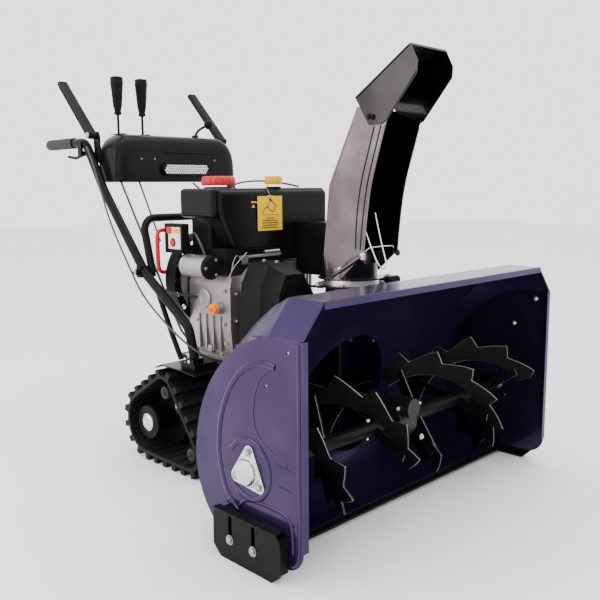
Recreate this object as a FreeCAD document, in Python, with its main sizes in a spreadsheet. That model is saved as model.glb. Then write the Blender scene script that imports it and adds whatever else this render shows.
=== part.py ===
"""A tracked two-stage snowblower, built as separate pieces in millimetres.

The ground is Z = 0. The intake faces -Y, the handles point to +Y, and X = 0 is the middle.
Every driving size sits in the Sizes sheet, and every piece takes its sizes from there.
"""
import FreeCAD, Part
import math
import os
import Sketcher

Vector = FreeCAD.Vector

# Driving sizes in millimetres, by area of the machine.
SIZES = {
    # auger housing
    "housing_half_width": 510, "sheet_thickness": 3, "shoulder_half_width": 446,
    "front_plane": -747, "housing_top": 600, "plate_top": 526, "arch_start": -646,
    "housing_rear": -390, "arch_foot": 205, "skin_arch_radius": 432.7, "plate_arch_radius": 329,
    "floor_radius": 190, "floor_lip_rear": -545, "floor_lip_front": -590, "floor_lip_height": 18.25,
    "plate_bottom": 30, "plate_corner_radius": 50, "lip_width": 15,
    # auger
    "auger_y": -580, "auger_z": 215, "auger_tooth_radius": 167, "auger_root_radius": 142,
    "auger_inner_radius": 110, "auger_tube_radius": 21, "auger_shaft_radius": 16,
    "auger_inner_x": 62, "auger_outer_x": 488, "ribbon_thickness": 5, "spoke_width": 28,
    # second stage
    "drum_radius": 165, "drum_rear": -288, "impeller_z": 260,
    "impeller_shaft_radius": 8.5, "worm_radius": 10.4, "worm_wheel_radius": 34,
    # chute
    "chute_x": 70, "chute_y": -365, "collar_radius": 72, "ring_bottom": 552, "ring_radius": 80,
    "chute_floor": 577, "chute_half_width": 72, "chute_sheet": 2.5,
    # engine
    "crank_x": -60, "crank_z": 545, "crank_radius": 12.5, "blower_radius": 152,
    "deck_top": 323, "deck_half_width": 200, "running_gap": 0.05, "joint_gap": 0.4,
    # tracks
    "track_inner_x": 130, "track_outer_x": 310, "belt_thickness": 10, "lug_height": 18,
    "rear_wheel_y": 142, "rear_wheel_z": 116, "rear_wheel_track": 116,
    "sprocket_y": 45, "sprocket_z": 228, "sprocket_track": 72,
    "idler_y": -78, "idler_z": 66, "idler_track": 66, "axle_radius": 12,
    # handles
    "handle_x": 266, "tube_radius": 14, "grip_radius": 18, "grip_z": 980, "handle_end": 748,
    "console_half_width": 245, "console_front": 352, "console_bottom": 850, "console_top": 1005,
    "console_rear": 470, "lever_pivot_y": 455, "lever_pivot_z": 1000,
    # small hardware
    "bolt_radius": 4.5, "bolt_head_radius": 8,
}

doc = FreeCAD.newDocument("Snowblower")
sheet = doc.addObject("Spreadsheet::Sheet", "Sizes")
for row, (size_name, size_value) in enumerate(SIZES.items(), start=1):
    sheet.set("A%d" % row, size_name)
    sheet.set("B%d" % row, str(size_value))
    sheet.setAlias("B%d" % row, size_name)
doc.recompute()


class Size:
    """A length together with the sheet formula that gives it."""

    def __init__(self, value, formula):
        self.value = value
        self.formula = formula

    def __add__(self, other):
        other = as_size(other)
        return Size(self.value + other.value, "(%s + %s)" % (self.formula, other.formula))

    __radd__ = __add__

    def __sub__(self, other):
        other = as_size(other)
        return Size(self.value - other.value, "(%s - %s)" % (self.formula, other.formula))

    def __rsub__(self, other):
        return as_size(other) - self

    def __mul__(self, factor):
        return Size(self.value * factor, "(%s * %s)" % (self.formula, factor))

    __rmul__ = __mul__

    def __neg__(self):
        return self * -1


def as_size(thing):
    """Turn a plain number into a Size that is its own formula."""
    if isinstance(thing, Size):
        return thing
    return Size(thing, "(%s)" % thing)


class Sheet:
    """Sheet values by name, such as s.housing_top."""

    def __getattr__(self, name):
        return Size(SIZES[name], "Sizes." + name)


s = Sheet()
made = {}


def bind(thing, prop, size):
    """Drive one property of a document object from the sheet."""
    thing.setExpression(prop, as_size(size).formula)


def place(thing, x=0, y=0, z=0, axis="z"):
    """Stand a piece at a point, with its own Z axis turned to the named axis."""
    turns = {"z": FreeCAD.Rotation(), "x": FreeCAD.Rotation(Vector(0, 1, 0), 90),
             "y": FreeCAD.Rotation(Vector(1, 0, 0), -90)}
    point = Vector(as_size(x).value, as_size(y).value, as_size(z).value)
    thing.Placement = FreeCAD.Placement(point, turns[axis])
    bind(thing, "Placement.Base.x", x)
    bind(thing, "Placement.Base.y", y)
    bind(thing, "Placement.Base.z", z)
    return thing


def block(x0, x1, y0, y1, z0, z1):
    """A box between two corners."""
    box = doc.addObject("Part::Box", "Block")
    bind(box, "Length", as_size(x1) - x0)
    bind(box, "Width", as_size(y1) - y0)
    bind(box, "Height", as_size(z1) - z0)
    return place(box, x0, y0, z0)


def rod(axis, radius, across, up, low, high):
    """A cylinder along an axis. across and up are its centre in the other two axes, in order."""
    bar = doc.addObject("Part::Cylinder", "Rod")
    bind(bar, "Radius", radius)
    bind(bar, "Height", as_size(high) - low)
    spots = {"x": (low, across, up), "y": (across, low, up), "z": (across, up, low)}
    return place(bar, *spots[axis], axis=axis)


def cone(axis, radius_low, radius_high, across, up, low, high):
    """A tapered cylinder along an axis."""
    bar = doc.addObject("Part::Cone", "Cone")
    bind(bar, "Radius1", radius_low)
    bind(bar, "Radius2", radius_high)
    bind(bar, "Height", as_size(high) - low)
    spots = {"x": (low, across, up), "y": (across, low, up), "z": (across, up, low)}
    return place(bar, *spots[axis], axis=axis)


def fuse(*pieces):
    """Join overlapping shapes into one solid."""
    joined = doc.addObject("Part::MultiFuse", "Joined")
    joined.Shapes = list(pieces)
    joined.Refine = True
    return joined


def cut(base, *tools):
    """Take the tools away from the base."""
    tool = tools[0] if len(tools) == 1 else fuse(*tools)
    result = doc.addObject("Part::Cut", "Trimmed")
    result.Base = base
    result.Tool = tool
    return result


def group(pieces):
    """Keep equal pieces together as separate solids."""
    together = doc.addObject("Part::Compound", "Group")
    together.Links = list(pieces)
    return together


def keep(name, piece):
    """Name a finished piece, which is then exported."""
    piece.Label = name
    made[name] = piece
    return piece


def mirrored(piece):
    """The same piece on the other side of the machine."""
    other = doc.addObject("Part::Mirroring", "Mirrored")
    other.Source = piece
    other.Base = Vector(0, 0, 0)
    other.Normal = Vector(1, 0, 0)
    return other


def keep_pair(name, piece):
    """Name a right-hand piece and its left-hand mirror image."""
    keep(name + "_right", piece)
    keep(name + "_left", mirrored(piece))
    return piece


def keep_both(name, piece):
    """Keep a fixed piece and its mirror image together under one name."""
    keep(name, group([piece, mirrored(piece)]))


def arc_middle(start, end, radius):
    """The middle of the minor arc. A positive radius bulges to the right of the way along."""
    chord = end - start
    half = chord.Length / 2
    rise = abs(radius) - math.sqrt(max(radius * radius - half * half, 0))
    side = Vector(chord.y, -chord.x, 0).normalize()
    return (start + end) * 0.5 + side * math.copysign(rise, radius)


def profile(body, plane, points, offset=0):
    """A closed sketch. Each point is (across, up) or (across, up, radius of the arc leading to it)."""
    drawing = body.newObject("Sketcher::SketchObject", "Profile")
    role = [f for f in body.Origin.OriginFeatures if f.Role == plane + "_Plane"][0]
    drawing.AttachmentSupport = [(role, "")]
    drawing.MapMode = "FlatFace"
    bind(drawing, "AttachmentOffset.Base.z", offset)
    places = [Vector(as_size(p[0]).value, as_size(p[1]).value, 0) for p in points]
    count = len(points)
    starts = []
    for index in range(count):
        start = places[index]
        end = places[(index + 1) % count]
        following = points[(index + 1) % count]
        if len(following) == 3:
            middle = arc_middle(start, end, as_size(following[2]).value)
            arc = Part.Arc(start, middle, end)
            drawing.addGeometry(arc, False)
            forward = (drawing.getPoint(index, 1) - start).Length < 0.01
            starts.append(1 if forward else 2)
        else:
            drawing.addGeometry(Part.LineSegment(start, end), False)
            starts.append(1)
    for index in range(count):
        after = (index + 1) % count
        join_limits = (index, 3 - starts[index], after, starts[after])
        drawing.addConstraint(Sketcher.Constraint("Coincident", *join_limits))
    for index, point in enumerate(points):
        for kind, size in (("DistanceX", point[0]), ("DistanceY", point[1])):
            value = as_size(size).value
            number = drawing.addConstraint(
                Sketcher.Constraint(kind, -1, 1, index, starts[index], value))
            drawing.setExpression("Constraints[%d]" % number, as_size(size).formula)
        following = points[(index + 1) % count]
        if len(following) == 3:
            radius = as_size(following[2])
            if radius.value < 0:
                radius = -radius
            number = drawing.addConstraint(Sketcher.Constraint("Radius", index, radius.value))
            drawing.setExpression("Constraints[%d]" % number, radius.formula)
    return drawing


def slab(plane, points, low, high):
    """A flat outline given thickness from low to high along the plane's own axis."""
    body = doc.addObject("PartDesign::Body", "Slab")
    start = -as_size(high) if plane == "XZ" else as_size(low)
    pad = body.newObject("PartDesign::Pad", "Thickness")
    pad.Profile = profile(body, plane, points, start)
    bind(pad, "Length", as_size(high) - low)
    body.Tip = pad
    return body


def turned(axis, x, y, z, points):
    """A profile of (radius, height) turned a full circle, standing at a point along an axis."""
    body = doc.addObject("PartDesign::Body", "Turned")
    drawing = profile(body, "XZ", points)
    spin = body.newObject("PartDesign::Revolution", "Turn")
    spin.Profile = drawing
    spin.ReferenceAxis = (drawing, ["V_Axis"])
    spin.Angle = 360
    body.Tip = spin
    return place(body, x, y, z, axis=axis)


def route(points, bend):
    """A wire of straight runs joined by tangent arcs."""
    spots = [Vector(*[as_size(v).value for v in p]) for p in points]
    edges = []
    last = spots[0]
    for before, corner, after in zip(spots, spots[1:], spots[2:]):
        back = (before - corner).normalize()
        ahead = (after - corner).normalize()
        half = back.getAngle(ahead) / 2
        reach = as_size(bend).value / math.tan(half)
        begin = corner + back * reach
        finish = corner + ahead * reach
        heart = corner + (back + ahead).normalize() * (as_size(bend).value / math.sin(half))
        middle = heart + (corner - heart).normalize() * as_size(bend).value
        edges.append(Part.LineSegment(last, begin).toShape())
        edges.append(Part.Arc(begin, middle, finish).toShape())
        last = finish
    edges.append(Part.LineSegment(last, spots[-1]).toShape())
    return Part.Wire(edges)


def tube(points, radius, bend=40):
    """A round bar bent along a route."""
    wire = route(points, bend)
    first = wire.Edges[0]
    start = first.valueAt(first.FirstParameter)
    ring = Part.Wire([Part.makeCircle(as_size(radius).value, start,
                                      first.tangentAt(first.FirstParameter))])
    piece = doc.addObject("Part::Feature", "Tube")
    piece.Shape = wire.makePipeShell([ring], True, True)
    piece.Placement = FreeCAD.Placement()
    return piece



# ---- auger housing -------------------------------------------------------------------------

def shell_outline(top, arch_radius):
    """The thick side view of the sheet that wraps over and behind the auger."""
    t = s.sheet_thickness
    return [
        (s.front_plane, top),
        (s.arch_start, top),
        (s.housing_rear, s.arch_foot, -arch_radius),
        (s.floor_lip_rear, s.floor_lip_height, -s.floor_radius),
        (s.floor_lip_front, s.floor_lip_height),
        (s.floor_lip_front, s.floor_lip_height + t),
        (s.floor_lip_rear, s.floor_lip_height + t),
        (s.housing_rear - t, s.arch_foot, s.floor_radius - t),
        (s.arch_start - 0.7, top - t, arch_radius - t),
        (s.front_plane, top - t),
    ]


def make_housing():
    """The purple sheet shell: a level middle and two ends that slope down to the side plates."""
    body = doc.addObject("PartDesign::Body", "Shell")
    middle = shell_outline(s.housing_top, s.skin_arch_radius)
    end = shell_outline(s.plate_top, s.plate_arch_radius)
    shoulder = s.shoulder_half_width
    edge = s.housing_half_width - s.sheet_thickness
    right = profile(body, "YZ", middle, -shoulder)
    right_end = profile(body, "YZ", end, -edge)
    left = profile(body, "YZ", middle, shoulder)
    left_end = profile(body, "YZ", end, edge)
    pad = body.newObject("PartDesign::Pad", "Middle")
    pad.Profile = right
    bind(pad, "Length", shoulder * 2)
    for near, far in ((right, right_end), (left, left_end)):
        slope = body.newObject("PartDesign::AdditiveLoft", "Slope")
        slope.Profile = near
        slope.Sections = [far]
        slope.Ruled = True
        body.Tip = slope
    opening = rod("y", s.drum_radius, 0, s.impeller_z, -520, -380)
    lip = block(-shoulder, shoulder, s.front_plane - 3, s.front_plane,
                s.housing_top - s.lip_width, s.housing_top)
    keep("auger_housing", fuse(cut(body, opening), lip))


def make_side_plates():
    """The end plates, with a turned-in front lip, a bearing hole and small fastener holes."""
    outer = s.housing_half_width
    inner = outer - s.sheet_thickness
    corner = s.plate_corner_radius
    floor_rise = -506
    outline = [
        (s.front_plane, s.plate_bottom + corner),
        (s.front_plane, s.plate_top),
        (s.arch_start, s.plate_top),
        (s.housing_rear, s.arch_foot, -s.plate_arch_radius),
        (floor_rise, s.plate_bottom, -s.floor_radius),
        (s.front_plane + corner, s.plate_bottom),
        (s.front_plane, s.plate_bottom + corner, -corner),
    ]
    outline = outline[:-1]
    outline[0] = (s.front_plane, s.plate_bottom + corner, -corner)
    plate = slab("YZ", outline, -outer, -inner)
    lip = block(-outer, -outer + s.lip_width, s.front_plane - 3, s.front_plane,
                s.plate_bottom + corner, s.plate_top)
    bearing_hole = rod("x", 24, s.auger_y, s.auger_z, -outer - 5, -inner + 5)
    holes = [rod("x", s.bolt_radius, y, z, -outer - 5, -inner + 5)
             for y, z in ((-706, 499), (-638, 418), *SKID_BOLTS, *bearing_bolts())]
    keep_both("side_plates", cut(fuse(plate, lip), bearing_hole, *holes))


SKID_BOLTS = ((-540, 50), (-618, 50))
HEX_BOLTS = []


def bearing_bolts():
    """Three points around the auger shaft, in the side view."""
    reach = 46
    spots = []
    for degrees in (95, 215, 335):
        angle = math.radians(degrees)
        spots.append((SIZES["auger_y"] + reach * math.cos(angle),
                      SIZES["auger_z"] + reach * math.sin(angle)))
    return spots


def make_bearings():
    """Three-bolt flange bearings with a domed cap over the end of the auger shaft."""
    outer = s.housing_half_width
    lobes = [rod("x", 13, y, z, -outer - 5, -outer) for y, z in bearing_bolts()]
    flange = rod("x", 42, s.auger_y, s.auger_z, -outer - 5, -outer)
    hub = rod("x", 28, s.auger_y, s.auger_z, -outer - 12, -outer - 5)
    dome = cone("x", 18, 28, s.auger_y, s.auger_z, -outer - 20, -outer - 12)
    sleeve = rod("x", 23, s.auger_y, s.auger_z, -outer, -outer + 12)
    bore = rod("x", s.auger_shaft_radius + s.running_gap, s.auger_y, s.auger_z,
               -outer - 10, -outer + 14)
    holes = [rod("x", s.bolt_radius, y, z, -outer - 8, -outer + 2) for y, z in bearing_bolts()]
    keep_both("auger_bearings", cut(fuse(flange, *lobes, hub, dome, sleeve), bore, *holes))
    bolts = []
    for y, z in bearing_bolts():
        shank = rod("x", s.bolt_radius, y, z, -outer - 6, -outer + 8)
        head = rod("x", s.bolt_head_radius, y, z, -outer - 11, -outer - 5)
        bolt = fuse(shank, head)
        bolts += [bolt, mirrored(bolt)]
    HEX_BOLTS.extend(bolts)


def make_scraper():
    """The replaceable steel bar under the front lip of the housing floor."""
    edge = s.housing_half_width - s.sheet_thickness
    top = s.floor_lip_height
    bar = block(-edge + 1, edge - 1, s.floor_lip_front - 22, s.floor_lip_rear - 7, top - 6, top)
    keep("scraper_bar", bar)


def make_skid_shoes():
    """Adjustable shoes that stand outside the plates, each on two bolts in tall slots."""
    inner = s.housing_half_width + s.joint_gap
    outer = inner + 24
    outline = [(-704, 26), (-676, 0), (-506, 0), (-480, 22), (-480, 96), (-492, 112),
               (-690, 112), (-704, 92)]
    shell = slab("YZ", outline, -outer, -inner)
    hollow = block(-outer + 4, -inner + 1, -696, -488, 8, 120)
    slots = []
    for y, z in SKID_BOLTS:
        slots.append(block(-outer - 1, -inner + 1, y - 6, y + 6, z, z + 50))
        slots.append(rod("x", 6, y, z, -outer - 1, -inner + 1))
        slots.append(rod("x", 6, y, z + 50, -outer - 1, -inner + 1))
    lip = block(-outer, -inner, -684, -498, 108, 112)
    keep_pair("skid_shoe", fuse(cut(shell, hollow, *slots), lip))
    bolts = []
    for y, z in SKID_BOLTS:
        shank = rod("x", s.bolt_radius, y, z, -outer - 10, -s.housing_half_width + 8)
        nut = rod("x", 9, y, z, -outer - 8, -outer - s.joint_gap)
        bolt = fuse(shank, nut)
        bolts += [bolt, mirrored(bolt)]
    HEX_BOLTS.extend(bolts)


# ---- first stage: the auger ----------------------------------------------------------------

def ribbon(start_angle, sweep, x_from, x_to):
    """A toothed helical blade with flat facets. Every third edge point drops back to a root."""
    steps = 24
    thick = SIZES["ribbon_thickness"]
    tooth = SIZES["auger_tooth_radius"]
    root = SIZES["auger_root_radius"]
    inner = SIZES["auger_inner_radius"]
    rings = []
    for step in range(steps + 1):
        angle = math.radians(start_angle + sweep * step / steps)
        x = x_from + (x_to - x_from) * step / steps
        outer = root if step % 3 == 2 else tooth - (step % 3) * 8
        away = Vector(0, math.cos(angle), math.sin(angle))
        heart = Vector(x, SIZES["auger_y"], SIZES["auger_z"])
        side = Vector(thick / 2, 0, 0)
        rings.append([heart + away * inner - side, heart + away * outer - side,
                      heart + away * outer + side, heart + away * inner + side])
    faces = []

    def facet(*corners):
        faces.append(Part.Face(Part.makePolygon(list(corners) + [corners[0]])))

    for before, after in zip(rings, rings[1:]):
        for a in range(4):
            b = (a + 1) % 4
            facet(before[a], before[b], after[b])
            facet(before[a], after[b], after[a])
    facet(*rings[0])
    facet(*rings[-1])
    solid = Part.makeSolid(Part.makeShell(faces))
    if solid.Volume < 0:
        solid.reverse()
    return solid


def make_flights(side_name, side):
    """One half of the auger: a tube on the shaft, two toothed ribbons and their spokes."""
    inner_x = SIZES["auger_inner_x"] * side
    outer_x = SIZES["auger_outer_x"] * side
    sweep = 300 * side
    low, high = min(inner_x, outer_x), max(inner_x, outer_x)
    heart = Vector(low, SIZES["auger_y"], SIZES["auger_z"])
    tube_radius = SIZES["auger_tube_radius"]
    weld = Part.makeCylinder(tube_radius, high - low, heart, Vector(1, 0, 0))
    ribbons = []
    for first in (0, 180):
        start = first + 40
        ribbons.append(ribbon(start, sweep, inner_x + 6 * side, outer_x - 6 * side))
        for part_way in (0.06, 0.5, 0.94):
            angle = start + sweep * part_way
            x = inner_x + 6 * side + (outer_x - inner_x - 12 * side) * part_way
            width = SIZES["spoke_width"]
            bar = Part.makeBox(6, SIZES["auger_inner_radius"] + 12, width)
            bar.translate(Vector(x - 3, 0, -width / 2))
            bar.rotate(Vector(0, 0, 0), Vector(1, 0, 0), angle)
            bar.translate(Vector(0, SIZES["auger_y"], SIZES["auger_z"]))
            weld = weld.fuse(bar)
    for blade in ribbons:
        weld = weld.fuse(blade)
    bore = Part.makeCylinder(SIZES["auger_shaft_radius"], high - low + 20,
                             heart - Vector(10, 0, 0), Vector(1, 0, 0))
    weld = weld.cut(bore)
    pin_x = 110 * side
    pin_hole = Part.makeCylinder(4, 80, Vector(pin_x, SIZES["auger_y"], SIZES["auger_z"] - 40))
    weld = weld.cut(pin_hole)
    piece = doc.addObject("Part::Feature", "Flights")
    piece.Shape = weld
    piece.Placement = FreeCAD.Placement()
    keep("auger_flight_" + side_name, piece)


def make_auger_drive():
    """The auger shaft, its shear bolts, the worm wheel and the fixed gearbox around them."""
    y, z = s.auger_y, s.auger_z
    shaft = rod("x", s.auger_shaft_radius, y, z, -514, 514)
    pins = [rod("z", 4, x, y, z - 40, z + 40) for x in (-110, 110)]
    bolts = []
    for x in (-110, 110):
        bolts.append(fuse(rod("z", 4, x, y, z - 28, z + 28),
                          rod("z", 7, x, y, z + 22, z + 28)))
    keep("shear_bolts", group(bolts))
    wheel = rod("x", s.worm_wheel_radius, y, z, -12, 12)
    keep("auger_shaft", fuse(cut(shaft, *pins), wheel))
    bore = s.running_gap
    case = fuse(rod("x", 50, y, z, -34, 34), rod("x", 30, y, z, -52, 52),
                rod("y", 26, 0, s.impeller_z, -645, -505))
    hollow = fuse(rod("x", 43, y, z, -26, 26),
                  rod("y", 17, 0, s.impeller_z, -632, -520),
                  rod("x", s.auger_shaft_radius + bore, y, z, -60, 60),
                  rod("y", s.impeller_shaft_radius + bore, 0, s.impeller_z, -640, -500))
    keep("gearbox_case", cut(case, hollow))


# ---- second stage: the impeller ------------------------------------------------------------

def make_impeller():
    """Four bent blades on a hub, on the shaft that also carries the worm and the driven pulley."""
    z = s.impeller_z
    hub = rod("y", 26, 0, z, -384, -306)
    blades = []
    for turn in range(4):
        blade = slab("XZ", [(10, -3), (132, -3), (156, -22), (157, -16), (136, 3), (10, 3)],
                     -384, -308)
        blade.Placement = FreeCAD.Placement(Vector(0, 0, SIZES["impeller_z"]),
                                            FreeCAD.Rotation(Vector(0, 1, 0), 90 * turn))
        bind(blade, "Placement.Base.z", z)
        blades.append(blade)
    back = rod("y", 120, 0, z, -306, -302)
    bore = rod("y", s.impeller_shaft_radius, 0, z, -400, -295)
    keep("impeller", cut(fuse(hub, back, *blades), bore))
    shaft = fuse(rod("y", s.impeller_shaft_radius, 0, z, -638, -205),
                 rod("y", s.worm_radius, 0, z, -606, -554))
    groove = [(s.impeller_shaft_radius, 0), (92, 0), (92, 3), (80, 9), (80, 15), (92, 21),
              (92, 24), (s.impeller_shaft_radius, 24)]
    keep("impeller_shaft", fuse(shaft, turned("y", 0, -258, z, groove)))


def make_impeller_housing():
    """The round drum behind the auger, with the spout that leads up to the chute."""
    z = s.impeller_z
    t = s.sheet_thickness
    drum = rod("y", s.drum_radius + t, 0, z, -480, s.drum_rear)
    spout = rod("z", s.collar_radius + t, s.chute_x, s.chute_y, z, s.ring_bottom)
    outline = shell_outline(s.housing_top, s.skin_arch_radius)[:5]
    swept = slab("YZ", outline, -s.shoulder_half_width, s.shoulder_half_width)
    inside_drum = rod("y", s.drum_radius, 0, z, -490, s.drum_rear - t)
    inside_spout = rod("z", s.collar_radius, s.chute_x, s.chute_y, z, s.ring_bottom + 5)
    bearing = rod("y", 34, 0, z, s.drum_rear, s.drum_rear + 12)
    bore = rod("y", s.impeller_shaft_radius + s.running_gap, 0, z, -300, -270)
    shell = cut(fuse(drum, spout), swept, inside_drum, inside_spout)
    keep("impeller_housing", cut(fuse(shell, bearing), bore))


# ---- chute ---------------------------------------------------------------------------------

def make_chute_base():
    """The black plate and pale ring on the spout, and the small turning gear beside them."""
    x, y = s.chute_x, s.chute_y
    plate = fuse(rod("z", 99, x, y, s.ring_bottom, s.ring_bottom + 5),
                 block(-44, 10, -352, -312, s.ring_bottom, s.ring_bottom + 5))
    plate = cut(plate, rod("z", s.collar_radius + s.sheet_thickness, x, y, s.ring_bottom - 5,
                           s.ring_bottom + 10))
    ring = cut(rod("z", s.ring_radius, x, y, s.ring_bottom + 5, s.chute_floor - 4),
               rod("z", s.collar_radius, x, y, s.ring_bottom, s.chute_floor))
    keep("chute_ring", ring)
    case = fuse(block(171, 216, -420, -380, 542, 570), rod("x", 13, -400, 556, 216, 236))
    foot = block(160, 172, -415, -385, s.ring_bottom - 5, s.ring_bottom)
    keep("chute_base", group([plate, fuse(case, foot)]))


def make_chute():
    """The tall open-fronted chute on its turning flange."""
    x, y = s.chute_x, s.chute_y
    t = s.chute_sheet
    low = s.chute_floor
    left, right = x - s.chute_half_width, x + s.chute_half_width
    rear = [(-334, low), (-325, 643), (-336, 742), (-346, 835), (-402, 949), (-447, 1038)]
    front = [(-548, 1003), (-522, 922), (-494, 834), (-478, 721), (-472, 650), (-388, low)]
    walls = slab("YZ", rear + front, left, right)
    sheet_back = [(p[0] - t, p[1]) for p in rear]
    space = slab("YZ", [(-334 - t, low - 10)] + sheet_back + [(-452, 1060), (-640, 1060),
                 (-640, low - 10)], left + t, right - t)
    base = rod("z", s.collar_radius + t, x, y, low, low + 52)
    slope = slab("YZ", [(-250, low + 10), (-250, low + 80), (-460, low + 80), (-460, low + 46)],
                 left - 20, right + 20)
    flange = rod("z", 92, x, y, low - 3.5, low)
    bore = rod("z", s.collar_radius, x, y, low - 10, low + 60)
    eaves = cut(base, slope)
    ear = block(left - 3, left, -482, -462, 636, 656)
    whole = cut(fuse(cut(walls, space), eaves, flange), bore)
    pin = rod("x", 5, -498, 1008, left - 12, left + t)
    pin_left = rod("x", 5, -498, 1008, right - t, right + 12)
    keep("chute_body", fuse(whole, ear, pin, pin_left))


def make_deflector():
    """The hinged cap at the top, a channel around the outside of the chute."""
    x = s.chute_x
    t = s.chute_sheet
    gap = 1.2
    left, right = x - s.chute_half_width - gap - t, x + s.chute_half_width + gap + t
    outline = [(-442, 1062), (-620, 1176), (-643, 1132), (-641, 1104), (-552, 1000),
               (-528, 987), (-490, 988)]
    cap = slab("YZ", outline, left, right)
    inner = [(-452, 1040), (-441, 1058.5), (-618, 1171), (-700, 1160), (-700, 900), (-400, 900)]
    space = slab("YZ", inner, left + t, right - t)
    holes = rod("x", 5.5, -498, 1008, left - 5, right + 5)
    keep("deflector", cut(cap, space, holes))


def make_chute_guards():
    """Bent wire guards across the open front of the chute, and the bar beside its foot."""
    near = s.chute_x - s.chute_half_width + s.chute_sheet
    far = s.chute_x + s.chute_half_width - s.chute_sheet
    frame = tube([(near + 1.7, -462, 645), (near + 22, -474, 668), (far - 22, -474, 668),
                  (far - 1.7, -462, 645)], 2, 10)
    loop = tube([(near + 8, -468, 716), (near + 16, -512, 612), (near + 54, -512, 612),
                 (near + 44, -472, 760)], 2, 12)
    bar = tube([(near - s.chute_sheet - 7, -470, 646), (near - s.chute_sheet - 7, -362, 584)], 4)
    keep("chute_guard", group([frame, loop, bar]))


# ---- frame and engine ----------------------------------------------------------------------

def make_frame():
    """The welded box between the tracks and the engine deck on top of it."""
    box = block(-115, 115, -140, 110, 60, 312)
    room = block(-109, 109, -134, 104, 66, 320)
    nose = block(-115, 115, s.drum_rear, -140, 100, 146)
    deck = block(-s.deck_half_width, s.deck_half_width, -138, 110, 312, s.deck_top)
    foot = fuse(block(-284, -195, -86, -20, 313, 330), block(-284, -248, -80, -44, 330, 345))
    foot = cut(foot, tube(HANDLE_SIDE, s.tube_radius, 50))
    keep("frame_box", fuse(cut(box, room), nose, deck, foot, mirrored(foot)))
    for x in (-165, 122):
        for y in (-60, 60):
            HEX_BOLTS.append(rod("z", 7, x, y, s.deck_top + 14, s.deck_top + 22))


def make_engine():
    """The crankcase, the slanted cylinder, and the turning crankshaft, pulley and flywheel."""
    x, z = s.crank_x, s.crank_z
    case = slab("XZ", [(-150, s.deck_top + 14), (110, s.deck_top + 14), (110, 600), (-150, 570),
                       (-158, 540), (-158, 420)], -97, 100)
    foot = block(-172, 130, -92, 92, s.deck_top, s.deck_top + 14)
    ribs = fuse(block(-150, -110, -85, 85, s.deck_top + 14, s.deck_top + 44),
                block(50, 110, -85, 85, s.deck_top + 14, s.deck_top + 44))
    nose = rod("y", 60, x, z, -112, -97)
    room = rod("y", 78, x, z, -85, 88)
    bore = rod("y", s.crank_radius + s.running_gap, x, z, -130, 120)
    fill = rod("x", 11, -52, 478, -190, -120)
    neck = rod("x", 18, -52, 478, -176, -150)
    fins = [block(111 + 13 * i, 117 + 13 * i, -72, 84, 455, 596) for i in range(8)]
    barrel = block(110, 212, -40, 50, 475, 575)
    solid_case = fuse(case, foot, ribs, nose, neck, barrel, *fins)
    keep("engine_crankcase", cut(solid_case, room, bore, fill))
    shaft = rod("y", s.crank_radius, x, z, -264, 140)
    groove = [(s.crank_radius, 0), (44, 0), (44, 3), (34, 9), (34, 15), (44, 21), (44, 24),
              (s.crank_radius, 24)]
    wheel = rod("y", 125, x, z, 106, 130)
    keep("crankshaft", fuse(shaft, turned("y", x, -258, z, groove), wheel))
    housing = fuse(rod("y", s.blower_radius, x, z, 101, 150), rod("y", 92, x, z, 150, 178))
    room = fuse(rod("y", s.blower_radius - 4, x, z, 100, 146), rod("y", 87, x, z, 140, 174))
    vents = [rod("y", 9, x + across, z + up, 140, 160) for across, up in ring_points(122, 16)]
    slit = block(-160, -60, 156, 168, 606, 622)
    keep("blower_housing", cut(housing, room, slit, *vents))


def ring_points(radius, count):
    """Even points round a circle."""
    return [(radius * math.cos(2 * math.pi * i / count), radius * math.sin(2 * math.pi * i / count))
            for i in range(count)]


def make_belt_cover():
    """The plastic cover over the pulleys between the engine and the second stage."""
    outline = [(-70, 150), (70, 150), (118, 200), (118, 400), (-42, 618), (-118, 618),
               (-152, 560), (-166, 420), (-150, 230)]
    inner = [(-68, 153), (68, 153), (115, 201), (115, 399), (-43, 615), (-116, 615),
             (-149, 559), (-163, 420), (-147, 231)]
    cover = slab("XZ", outline, -284, -142)
    room = slab("XZ", inner, -281, -130)
    bearing = rod("y", 36, 0, s.impeller_z, -300, -270)
    keep("belt_cover", cut(cover, room, bearing))
    belt_outer = slab("XZ", belt_points(97, 50), -251, -241)
    belt_inner = slab("XZ", belt_points(87, 40), -255, -235)
    keep("drive_belt", cut(belt_outer, belt_inner))


def tangent_sides(first, second):
    """The outer tangent points of two circles given as (x, z, radius)."""
    x1, z1, r1 = first
    x2, z2, r2 = second
    gap = math.hypot(x2 - x1, z2 - z1)
    along = math.atan2(z2 - z1, x2 - x1)
    lean = math.acos((r1 - r2) / gap)
    sides = []
    for sign in (1, -1):
        angle = along + sign * lean
        sides.append(((x1 + r1 * math.cos(angle), z1 + r1 * math.sin(angle)),
                      (x2 + r2 * math.cos(angle), z2 + r2 * math.sin(angle))))
    return sides


def belt_points(lower_radius, upper_radius):
    """A faceted loop round the two pulleys."""
    return wrap_points([(0, SIZES["impeller_z"], lower_radius),
                        (SIZES["crank_x"], SIZES["crank_z"], upper_radius)], 10)


def wrap_points(circles, steps):
    """A loop round circles listed counter-clockwise, with each turn split into steps."""
    count = len(circles)
    points = []
    for index in range(count):
        here = circles[index]
        before = circles[index - 1]
        after = circles[(index + 1) % count]
        arrive = tangent_sides(before, here)[1][1]
        leave = tangent_sides(here, after)[1][0]
        start = math.atan2(arrive[1] - here[1], arrive[0] - here[0])
        stop = math.atan2(leave[1] - here[1], leave[0] - here[0])
        while stop < start:
            stop += 2 * math.pi
        for step in range(steps + 1):
            angle = start + (stop - start) * step / steps
            points.append((here[0] + here[2] * math.cos(angle),
                           here[1] + here[2] * math.sin(angle)))
    return points


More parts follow.
